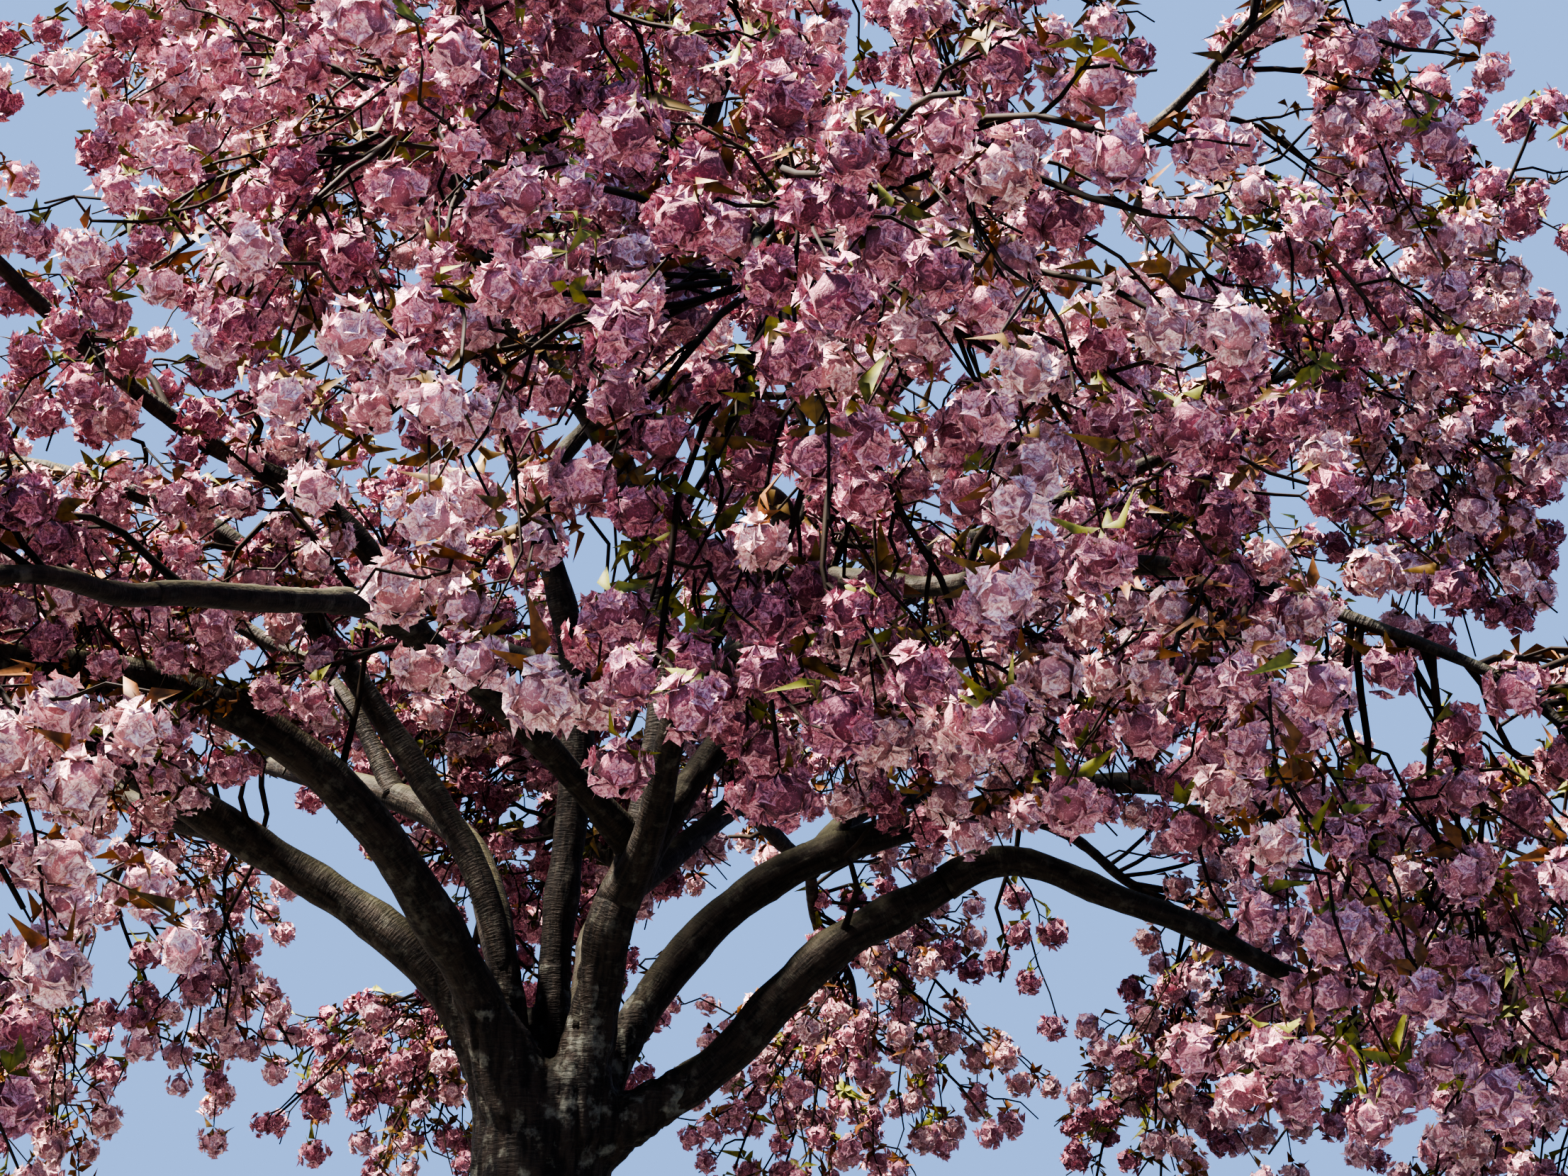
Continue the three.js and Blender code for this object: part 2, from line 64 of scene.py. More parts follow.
# The growth rule works in millimetres, as the solids do, and a mesh is made in metres.
METRES = 0.001
MM_IN_METRE = 1000
JOINT_GAP = 0.3
GOLDEN_ANGLE = 137.508
GOLDEN_SHARE = 0.618
UP = np.array([0.0, 0.0, 1.0])

# Limbs: how the centreline and the taper are worked out.
PATH_STEPS = 12
FINE_STEPS = 72
PATH_SLACK = 0.01
WAY_WINDOW = 40
HANDLE_SHARE = 0.38
SWAY_SHARE = 0.03
SWAY_TURNS = 9
SWAY_RISES = 7
TAPER_POWER = 0.85
SWELLING_SHARE = 0.3
SWELLING_LENGTH = 1.8
TOUCH_MARGIN = 8
TINY = 1e-9
TRUNK_TOP = 2120
TRUNK_LEAN = 30
FOOT_OUT = 105

# Seeds of the numbers drawn for limbs, stems and masses, and for what grows finer than the solids.
LIMB_SEED = 100
STEM_SEED = 300
MASS_SEED = 500
FINE_SEED = 900
SHOOT_SEED = 1300
BLOOM_SEED = 1700

# Crown: where the masses lie and what keeps each in its own space.
FRONT_AZIMUTH = -78
FRONT_WINDOW = 24
FRONT_LIFT = 820
SPACE_MARGIN = 12
OUTLINE_SHARE = 1.18
LOWEST_BLOSSOM = 1250
STEM_REACH = 0.45
SPUR_RADIUS = 20
SPUR_CLIMB = 60
STEM_TIP_RADIUS = 9
BLOSSOM_ROOM = 60
SEAM_OVERLAP = 170

# Twigs: how they sway, and the radius at which they count as stout.
TWIG_SWAY_TURNS = 8
TWIG_SWAY_RISES = 7
STOUT_TWIG = 6

# What turns a spur's rank into the size and the shape of what it bears.
SIZE_SHUFFLE = 997
POMPOM_SHUFFLE = 4096
WHORL_SHUFFLE = 5153

# First seeds of the stems' relief and of the leaves' spin.
FIRST_STEM = 40
LEAF_SEED = 20

# Lattice noise: what makes one number of a corner's place, and what scrambles it.
LATTICE_STEPS = np.array([73856093, 19349663, 83492791])
LATTICE_SEED_STEP = 26544357
LATTICE_SCRAMBLE = 1274126177

# Pompoms: the ball inside one, the tone of its faces, and a way that no flower faces.
BALL_CORNERS = 5
BALL_LEVEL = 0.447
BALL_OUT = 0.894
# The ball's faces take the darkest petal material, as painted shade inside the pompom.
CORE_TONE = 2
SLANTED = (0.31, 0.52, 0.8)

# The fields of a point or a face that the node group of pompoms and whorls reads.
CLUSTER_FIELDS = {"turn": "FLOAT_VECTOR", "size": "FLOAT", "shape": "INT", "tone": "FLOAT"}


def linear(code: str) -> tuple[float, float, float, float]:
    """Turns an sRGB hex colour into the linear colour that a shader takes.

    Args:
        code: six hex digits, with or without a leading hash sign.

    Returns:
        Linear red, green, blue and an alpha of 1.
    """
    parts = [int(code.lstrip("#")[i : i + 2], 16) / 255 for i in (0, 2, 4)]
    red, green, blue = [p / 12.92 if p <= 0.04045 else ((p + 0.055) / 1.055) ** 2.4 for p in parts]
    return red, green, blue, 1.0


def add_node(tree: NodeTree, kind: str, inputs: dict | None = None, **settings) -> Node:
    """Adds a node with its settings, its values and its links.

    Args:
        tree: the node tree that gets the node.
        kind: the node's type.
        inputs: for each input, by name or place, a value or the socket that feeds it.
        **settings: the node's own properties.

    Returns:
        The new node.
    """
    node = tree.nodes.new(kind)
    for name, value in settings.items():
        setattr(node, name, value)
    for key, value in (inputs or {}).items():
        if isinstance(value, NodeSocket):
            tree.links.new(value, node.inputs[key])
        else:
            node.inputs[key].default_value = value
    return node


def lattice_noise(places: np.ndarray, seed: int) -> np.ndarray:
    """Smooth noise at many places.

    Args:
        places: an array of places, counted in grains.
        seed: chooses the pattern.

    Returns:
        One number from -1 to 1 for each place.
    """
    cell = np.floor(places).astype(np.int64)
    part = places - cell
    ease = part * part * (3 - 2 * part)
    total = np.zeros(len(places))
    for corner in np.ndindex(2, 2, 2):
        key = (cell + np.array(corner)) @ LATTICE_STEPS + seed * LATTICE_SEED_STEP
        key = ((key ^ (key >> 13)) * LATTICE_SCRAMBLE) & 0xFFFFFFFF
        value = ((key ^ (key >> 16)) & 0xFFFF) / 0x7FFF - 1
        total += value * np.prod(np.where(corner, ease, 1 - ease), axis=1)
    return total


class Seeded:
    """Numbers from 0 to 1 that are the same on every run."""

    MASK = 0xFFFFFFFF
    STEP = 0x6D2B79F5

    def __init__(self, seed: int) -> None:
        """Starts the row of numbers at a seed."""
        self.state = seed & self.MASK

    def draw(self) -> float:
        """Draws the next number.

        Returns:
            The number.
        """
        self.state = (self.state + self.STEP) & self.MASK
        mixed = ((self.state ^ (self.state >> 15)) * (self.state | 1)) & self.MASK
        mixed ^= (mixed + (mixed ^ (mixed >> 7)) * (mixed | 61)) & self.MASK
        return ((mixed ^ (mixed >> 14)) & self.MASK) / (self.MASK + 1)

    def above(self, least: float, spread: float) -> float:
        """A number from the least up to a spread above it."""
        return least + spread * self.draw()

    def aside(self, spread: float) -> float:
        """A number up to half a spread to either side of nothing."""
        return spread * (self.draw() - 0.5)


def polar(azimuth: float, out: float, height: float) -> np.ndarray:
    """The place at an azimuth in degrees, a distance out from the axis and a height."""
    angle = math.radians(azimuth)
    return np.array([out * math.cos(angle), out * math.sin(angle), height])


def heading(azimuth: float, climb: float) -> np.ndarray:
    """The unit vector that points along an azimuth and climbs by an angle, both in degrees."""
    return polar(azimuth, math.cos(math.radians(climb)), math.sin(math.radians(climb)))


def unit(vector: np.ndarray) -> np.ndarray:
    """The vector at length 1."""
    return vector / np.linalg.norm(vector)


def square_to(start: np.ndarray, end: np.ndarray) -> np.ndarray:
    """The level direction square to the run from one place to another."""
    level = math.atan2(end[1] - start[1], end[0] - start[0])
    return np.array([-math.sin(level), math.cos(level), 0.0])


class Path:
    """A centreline through points, read by the distance along it."""

    def __init__(self, points: Iterable, start_way: np.ndarray, end_way: np.ndarray) -> None:
        """Keeps the points and measures the distance of each from the start.

        Args:
            points: the places that it runs through.
            start_way: its heading at the start.
            end_way: its heading at the end.
        """
        self.points = np.array(points, float)
        self.start_way = start_way
        self.end_way = end_way
        steps = np.linalg.norm(np.diff(self.points, axis=0), axis=1)
        self.distances = np.concatenate([[0.0], np.cumsum(steps)])
        self.length = float(self.distances[-1])
        self.across = square_to(self.points[0], self.points[-1])

    def point(self, distance: float) -> np.ndarray:
        """The place at a distance along the path."""
        return np.array([np.interp(distance, self.distances, self.points[:, i]) for i in range(3)])

    def way(self, distance: float) -> np.ndarray:
        """The heading of the path.

        Args:
            distance: the distance along it.

        Returns:
            The unit vector along it there.
        """
        if distance < PATH_SLACK:
            return self.start_way
        if distance > self.length - PATH_SLACK:
            return self.end_way
        step = self.length / WAY_WINDOW
        behind = self.point(max(distance - step, 0))
        ahead = self.point(min(distance + step, self.length))
        return unit(ahead - behind)

    def frame(self, distance: float) -> tuple[np.ndarray, np.ndarray]:
        """Two directions square to the path.

        Args:
            distance: the distance along it.

        Returns:
            Two unit vectors, the first of them nearly level.
        """
        way = self.way(distance)
        across = unit(self.across - way * (way @ self.across))
        return across, np.cross(across, way)


def arch(
    start: np.ndarray, start_way: np.ndarray, end: np.ndarray, end_way: np.ndarray, seed: int, steps: int
) -> Path:
    """A smooth arch with a slight sway that dies out at both ends.

    Args:
        start: where it starts.
        start_way: its heading at the start.
        end: where it ends.
        end_way: its heading at the end.
        seed: chooses the sway.
        steps: the number of straight steps.

    Returns:
        The arch as a path.
    """
    reach = float(np.linalg.norm(end - start))
    near = start + start_way * reach * HANDLE_SHARE
    far = end - end_way * reach * HANDLE_SHARE
    share = np.linspace(0, 1, steps + 1)[:, None]
    rest = 1 - share
    points = rest**3 * start + 3 * rest**2 * share * near + 3 * rest * share**2 * far + share**3 * end
    numbers = Seeded(seed)
    turn = numbers.draw() * math.tau
    rise = numbers.draw() * math.tau
    amount = reach * SWAY_SHARE * np.sin(math.pi * share)
    points = points + square_to(start, end) * amount * np.sin(turn + share * SWAY_TURNS)
    points[:, 2] += (amount * np.sin(rise + share * SWAY_RISES))[:, 0]
    return Path(points, start_way, end_way)


@dataclass
class Limb:
    """A limb or a stem: its centreline, its radius along it, and the same line in finer steps."""

    name: str
    parent: str
    path: Path
    fine: Path
    radius: float
    tip_radius: float
    swelling: float

    def radius_at(self, distance: float | np.ndarray) -> float | np.ndarray:
        """The radius of the limb: an even taper, swollen at a foot on a limb's side.

        Args:
            distance: the distance from the foot, or an array of them.

        Returns:
            The radius there, or an array of them.
        """
        left = np.maximum(1 - distance / self.path.length, 0) ** TAPER_POWER
        swollen = self.radius * self.swelling * np.exp(-distance / (SWELLING_LENGTH * self.radius))
        return self.tip_radius + (self.radius - self.tip_radius) * left + swollen


@dataclass(frozen=True)
class Tier:
    """One ring of masses, in the same sizes as the solids, and how much grows in each mass."""

    name: str
    count: int
    first: float
    out: float
    height: float
    width: float
    tall: float
    stem_climb: float
    clumps: int
    twigs: int


TIERS = [
    Tier("rim", 12, -108, 3300, 2600, 900, 1120, -58, 9, 18),
    Tier("shoulder", 9, -90, 2520, 4180, 980, 940, 12, 9, 18),
    Tier("top", 4, -45, 1000, 5300, 1050, 940, 50, 9, 18),
    Tier("inner", 3, -25, 1500, 3350, 800, 720, -12, 6, 11),
    Tier("crest", 1, 52, 60, 5480, 760, 800, 80, 6, 14),
]

# Name, parent, share of the parent's length at the foot, azimuth and climb at the foot, azimuth, distance out
# and height of the tip, climb at the tip, radius at the foot and the tip.
LIMBS = [
    ("left_bough", "trunk", 0.87, (178, 68), (189.7, 2384, 2800), -24, (72, 30)),
    ("left_rear_branch", "left_bough", 0.45, (150, 14), (163, 2404, 2850), -12, (42, 24)),
    ("front_left_bough", "trunk", 0.88, (-124, 70), (223.3, 2334, 2850), -18, (80, 30)),
    ("rear_left_bough", "trunk", 0.88, (125, 76), (131.4, 2267, 3150), -12, (62, 28)),
    ("rear_left_riser", "rear_left_bough", 0.5, (150, 65), (147.8, 1760, 3760), 22, (34, 22)),
    ("left_upright_bough", "trunk", 0.92, (165, 88), (186, 1700, 3840), 12, (50, 26)),
    ("rear_upright_bough", "trunk", 0.9, (80, 84), (128, 520, 4680), 55, (62, 26)),
    ("rear_upright_fork", "rear_upright_bough", 0.66, (45, 60), (48, 640, 4680), 52, (34, 22)),
    ("rear_shoulder_branch", "rear_upright_bough", 0.42, (110, 45), (109.7, 1680, 3760), 24, (36, 22)),
    ("front_bough", "trunk", 0.84, (-42, 76), (-29, 420, 2880), 76, (82, 60)),
    ("front_left_arch", "front_bough", 0.76, (-150, 42), (-105.1, 2382, 2850), -20, (48, 26)),
    ("front_left_riser", "front_left_arch", 0.4, (-140, 60), (-129, 1720, 3760), 26, (34, 22)),
    ("leader", "front_bough", 1, (0, 0), (-128, 480, 4680), 55, (58, 26)),
    ("leader_fork", "leader", 0.62, (-40, 62), (-43, 600, 4680), 55, (34, 22)),
    ("front_shoulder_branch", "leader", 0.3, (-90, 42), (-89, 1560, 3820), 22, (36, 22)),
    ("right_rising_limb", "front_bough", 0.7, (35, 52), (24, 1700, 3760), 12, (50, 26)),
    ("right_shoulder_branch", "right_rising_limb", 0.55, (-25, 35), (-7, 1720, 3760), 20, (34, 22)),
    ("front_right_limb", "front_bough", 0.62, (-60, 46), (-50, 1700, 3740), 24, (50, 26)),
    ("front_branch", "front_right_limb", 0.62, (-85, 18), (-72.8, 2303, 3400), 0, (34, 22)),
    ("front_right_arch", "front_right_limb", 0.36, (-52, 22), (-56.7, 2274, 3000), -12, (38, 24)),
    ("right_bough", "trunk", 0.87, (24, 58), (14.9, 2329, 2900), -14, (70, 30)),
    ("right_rear_branch", "right_bough", 0.42, (60, 26), (43.3, 2334, 3000), -8, (42, 24)),
    ("low_right_bough", "trunk", 0.82, (-8, 30), (-4.6, 1244, 2520), 30, (74, 52)),
    ("low_right_arch", "low_right_bough", 1, (0, 0), (-6.5, 2214, 2250), -24, (52, 28)),
    ("rear_bough", "trunk", 0.87, (76, 62), (71.6, 2372, 3000), -12, (64, 30)),
    ("rear_branch", "rear_bough", 0.45, (120, 20), (101.1, 2344, 3000), -8, (42, 24)),
    ("rear_riser", "rear_bough", 0.4, (70, 68), (69, 1700, 3760), 26, (34, 22)),
]

# The limb that bears the stem of each mass, tier by tier.
TIP_BEARERS = {
    "rim": (
        "front_left_arch front_branch front_right_arch low_right_arch right_bough right_rear_branch "
        "rear_bough rear_branch rear_left_bough left_rear_branch left_bough front_left_bough"
    ).split(),
    "shoulder": (
        "front_shoulder_branch front_right_limb right_shoulder_branch right_rising_limb rear_riser "
        "rear_shoulder_branch rear_left_riser left_upright_bough front_left_riser"
    ).split(),
    "top": ["leader_fork", "rear_upright_fork", "rear_upright_bough", "leader"],
    "inner": ["right_bough", "rear_bough", "left_bough"],
    "crest": ["leader"],
}
# How far along its bearer a stem on the side of a limb starts.
SPUR_SHARES = {"inner": [0.45, 0.5, 0.55], "crest": [0.88]}


@dataclass
class Mass:
    """The space of one mass of blossom, and the stem that grows into it."""

    name: str
    tier: Tier
    order: int
    centre: np.ndarray
    stem: Limb


class Skeleton:
    """The limbs and the stems of the masses, placed by the rule that the solids follow."""

    def __init__(self) -> None:
        """Places every limb and every mass, and lists their centrelines as short rods."""
        self.limbs: dict[str, Limb] = {}
        for index, row in enumerate(LIMBS):
            self.place_limb(index, *row)
        self.masses: list[Mass] = []
        for tier in TIERS:
            for i in range(tier.count):
                self.place_mass(tier, i)
        self.centres = np.array([mass.centre for mass in self.masses])
        owners = [*self.limbs.values(), *[mass.stem for mass in self.masses]]
        self.rod_owner = np.array([owner.name for owner in owners for _ in range(PATH_STEPS)])
        self.rod_start = np.concatenate([owner.path.points[:-1] for owner in owners])
        self.rod_end = np.concatenate([owner.path.points[1:] for owner in owners])
        self.rod_radius = np.concatenate([owner.radius_at(owner.path.distances[:-1]) for owner in owners])

    def place_limb(
        self,
        index: int,
        name: str,
        parent: str,
        share: float,
        foot: tuple[float, float],
        tip: tuple[float, float, float],
        tip_climb: float,
        radii: tuple[float, float],
    ) -> None:
        """Places one limb. A bough starts off the trunk's axis, a branch on its parent's centreline.

        Args:
            index: its row, which chooses its sway.
            name: its name.
            parent: the trunk or the limb that it leaves.
            share: how far up its parent it starts.
            foot: azimuth and climb at the foot.
            tip: azimuth, distance out and height of the tip.
            tip_climb: climb at the tip.
            radii: radius at the foot and at the tip.
        """
        end = polar(*tip)
        end_way = heading(tip[0], tip_climb)
        start_way = heading(*foot)
        if parent == "trunk":
            start = polar(foot[0], FOOT_OUT, share * TRUNK_TOP)
            start[0] += TRUNK_LEAN * start[2] / TRUNK_TOP
        else:
            parent_path = self.limbs[parent].path
            start = parent_path.point(share * parent_path.length)
            if share == 1:
                start_way = parent_path.end_way
                start = start + start_way * JOINT_GAP
        paths = [arch(start, start_way, end, end_way, LIMB_SEED + index, n) for n in (PATH_STEPS, FINE_STEPS)]
        swelling = 0.0 if share == 1 else SWELLING_SHARE
        self.limbs[name] = Limb(name, parent, *paths, *radii, swelling)

    def place_mass(self, tier: Tier, i: int) -> None:
        """Places the space and the stem of one mass.

        Args:
            tier: the ring that it belongs to.
            i: its place in that ring.
        """
        azimuth = tier.first + 360 / tier.count * i
        aside = (azimuth - FRONT_AZIMUTH) / FRONT_WINDOW
        lift = FRONT_LIFT * math.exp(-(aside**2)) if tier.name == "rim" else 0
        centre = polar(azimuth, tier.out, tier.height + lift)
        bearer = self.limbs[TIP_BEARERS[tier.name][i]]
        end_way = heading(azimuth, tier.stem_climb)
        end = centre + end_way * tier.width * STEM_REACH
        if tier.name in SPUR_SHARES:
            start = bearer.path.point(SPUR_SHARES[tier.name][i] * bearer.path.length)
            start_way = heading(azimuth, SPUR_CLIMB)
            radius = SPUR_RADIUS
        else:
            start_way = bearer.path.end_way
            start = bearer.path.point(bearer.path.length) + start_way * JOINT_GAP
            radius = bearer.tip_radius
        order = len(self.masses)
        name = f"{tier.name}_blossom_{i + 1:02d}"
        paths = [arch(start, start_way, end, end_way, STEM_SEED + order, n) for n in (PATH_STEPS, FINE_STEPS)]
        stem = Limb(name, bearer.name, *paths, radius, STEM_TIP_RADIUS, 0.0)
        self.masses.append(Mass(name, tier, order, centre, stem))

    def in_space(self, mass: Mass, place: np.ndarray, radius: float, overlap: float = 0) -> bool:
        """Whether a ball lies in a mass's rounded outline and nearer to its middle than to any other's.

        Args:
            mass: the mass.
            place: the ball's middle.
            radius: its radius.
            overlap: how far it may lie beyond the seam between two masses.

        Returns:
            True where it does.
        """
        if place[2] - radius < LOWEST_BLOSSOM:
            return False
        out = place - mass.centre
        wide = math.hypot(out[0], out[1]) / mass.tier.width
        if math.hypot(wide, out[2] / mass.tier.tall) + radius / mass.tier.width > OUTLINE_SHARE:
            return False
        others = np.delete(self.centres, mass.order, axis=0)
        apart = np.linalg.norm(others - mass.centre, axis=1)
        nearer = ((place - others) ** 2).sum(axis=1) - out @ out
        return bool(np.all(nearer / (2 * apart) >= radius + SPACE_MARGIN - overlap))

    def room(self, start: np.ndarray, end: np.ndarray, skipped: str) -> float:
        """The least room between a straight rod and the bark of every limb but one.

        Args:
            start: one end of the rod.
            end: its other end.
            skipped: the name of the limb or stem that doesn't count.

        Returns:
            The distance from the rod's centreline to the nearest bark.
        """
        kept = self.rod_owner != skipped
        starts = self.rod_start[kept]
        first = end - start
        second = self.rod_end[kept] - starts
        between = start - starts
        first_square = float(first @ first)
        second_square = (second**2).sum(axis=1)
        mixed = second @ first
        along = (second * between).sum(axis=1)
        back = between @ first
        scale = first_square * second_square - mixed**2
        crossing = np.clip((mixed * along - back * second_square) / np.maximum(scale, TINY), 0, 1)
        s = np.where(scale > TINY, crossing, 0)
        t = (mixed * s + along) / second_square
        beyond = (t < 0) | (t > 1)
        t = np.clip(t, 0, 1)
        if first_square > TINY:
            s = np.where(beyond, np.clip((mixed * t - back) / first_square, 0, 1), s)
        gap = start + first * s[:, None] - starts - second * t[:, None]
        return float(np.min(np.linalg.norm(gap, axis=1) - self.rod_radius[kept]))

    def rod_fits(
        self, mass: Mass, start: np.ndarray, end: np.ndarray, radius: float, overlap: float = 0
    ) -> bool:
        """Whether a straight rod ends in the mass's space and touches no limb and no other stem.

        Args:
            mass: the mass.
            start: one end of the rod.
            end: the end that has to lie in the space.
            radius: the rod's radius.
            overlap: how far it may lie beyond the seam between two masses.

        Returns:
            True where it does.
        """
        if not self.in_space(mass, end, radius, overlap):
            return False
        return self.room(start, end, mass.name) >= radius + TOUCH_MARGIN


def opened(path: Path, distance: float, around: float, opening: float) -> np.ndarray:
    """The way of a side shoot, turned round its bearer and opened from it.

    Args:
        path: the bearer's line.
        distance: how far along it the shoot leaves.
        around: the turn round the bearer, in radians.
        opening: the angle between the bearer and the shoot, in radians.

    Returns:
        The unit vector along the shoot's foot.
    """
    across, upward = path.frame(distance)
    side = across * math.cos(around) + upward * math.sin(around)
    return path.way(distance) * math.cos(opening) + side * math.sin(opening)


def drooping(root: np.ndarray, out: np.ndarray, length: float, droop: float, steps: int) -> Path:
    """A twig that starts straight and sinks more and more under its own weight.

    Args:
        root: where it starts.
        out: its way at the start.
        length: how long it would be without its droop.
        droop: how far its tip sinks, as a share of the length.
        steps: the number of straight steps.

    Returns:
        The twig's line.
    """
    shares = np.linspace(0, 1, steps + 1)[:, None]
    points = root + out * length * shares - UP * length * droop * shares**2
    return Path(points, out, unit(points[-1] - points[-2]))


def swayed(path: Path, numbers: Seeded, share: float) -> Path:
    """The path with a slight crook that leaves both ends where they are.

    Args:
        path: the plain path.
        numbers: gives the crook's two draws.
        share: how far it goes aside, as a share of the path's length.

    Returns:
        The crooked path.
    """
    turn = numbers.draw() * math.tau
    rise = numbers.draw() * math.tau
    steps = path.distances / path.length
    amount = path.length * share * np.sin(math.pi * steps)
    points = path.points + path.across * (amount * np.sin(turn + TWIG_SWAY_TURNS * steps))[:, None]
    points[:, 2] += amount * np.sin(rise + TWIG_SWAY_RISES * steps)
    return Path(points, path.start_way, unit(points[-1] - points[-2]))


def numbers_for(path: Path) -> Seeded:
    """Numbers of a path's own, so that drawing them moves no other draw."""
    return Seeded(int(abs(path.points[-1].sum())))


@dataclass
class Twig:
    """One twig: its line in millimetres and its radius at the foot and at the tip."""

    path: Path
    radius: float
    tip_radius: float


@dataclass
class Spur:
    """A short side shoot that can bear a pompom: its mass, its ends, its tint and its rank."""

    mass: Mass
    foot: np.ndarray
    tip: np.ndarray
    tint: float
    rank: float

    @property
    def way(self) -> np.ndarray:
        """The unit vector from its foot to its tip."""
        return unit(self.tip - self.foot)


@dataclass
class Cluster:
    """One pompom or one whorl of leaves: where its spur ends, the way it points, its size and its tint."""

    place: np.ndarray
    way: np.ndarray
    size: float
    shape: int
    tint: float


@dataclass(frozen=True)
class ShootRule:
    """How one kind of shoot leaves its bearer and grows. A pair of numbers is a least value and a spread."""

    opening: float
    opening_spread: float
    turn_spread: float
    length: tuple[float, float]
    droop: tuple[float, float]
    sway: float
    steps: int
    shortenings: tuple[float, ...]
    radius: float
    tip_radius: float

    def leave(self, path: Path, distance: float, k: int, numbers: Seeded) -> np.ndarray:
        """Draws the way in which a shoot leaves its bearer. Each is turned by the golden angle from the last.

        Args:
            path: the bearer's line.
            distance: how far along it the shoot leaves.
            k: the shoot's place in its row.
            numbers: gives the two draws.

        Returns:
            The unit vector along the shoot's foot.
        """
        around = math.radians(numbers.above(GOLDEN_ANGLE * k, self.turn_spread))
        opening = math.radians(self.opening + numbers.aside(self.opening_spread))
        return opened(path, distance, around, opening)

    def grown(self, root: np.ndarray, out: np.ndarray, length: float, droop: float, numbers: Seeded) -> Twig:
        """A twig of this kind, with its droop and its crook.

        Args:
            root: where it starts.
            out: its way at the start.
            length: its length.
            droop: how far its tip sinks, as a share of the length.
            numbers: gives the crook's two draws.

        Returns:
            The twig.
        """
        path = swayed(drooping(root, out, length, droop, self.steps), numbers, self.sway)
        return Twig(path, self.radius, self.tip_radius)


# The first twigs of a mass take their length from its size, and all of them sink alike.
FIRST_TWIGS = ShootRule(68, 16, 40, (0.78, 0.3), (0.32, 0), 0.045, 8, (1, 0.8, 0.62, 0.46), 9, 5)
SIDE_TWIGS = ShootRule(55, 30, 60, (240, 230), (0.1, 0.5), 0.085, 5, (1, 0.7, 0.5), 5.2, 2.8)
LIMB_SHOOTS = ShootRule(62, 24, 50, (320, 560), (0.1, 0.4), 0.07, 7, (1, 0.75, 0.55), 12, 5)


# The places and radii of a mass's clumps.
Clumps = list[tuple[np.ndarray, float]]


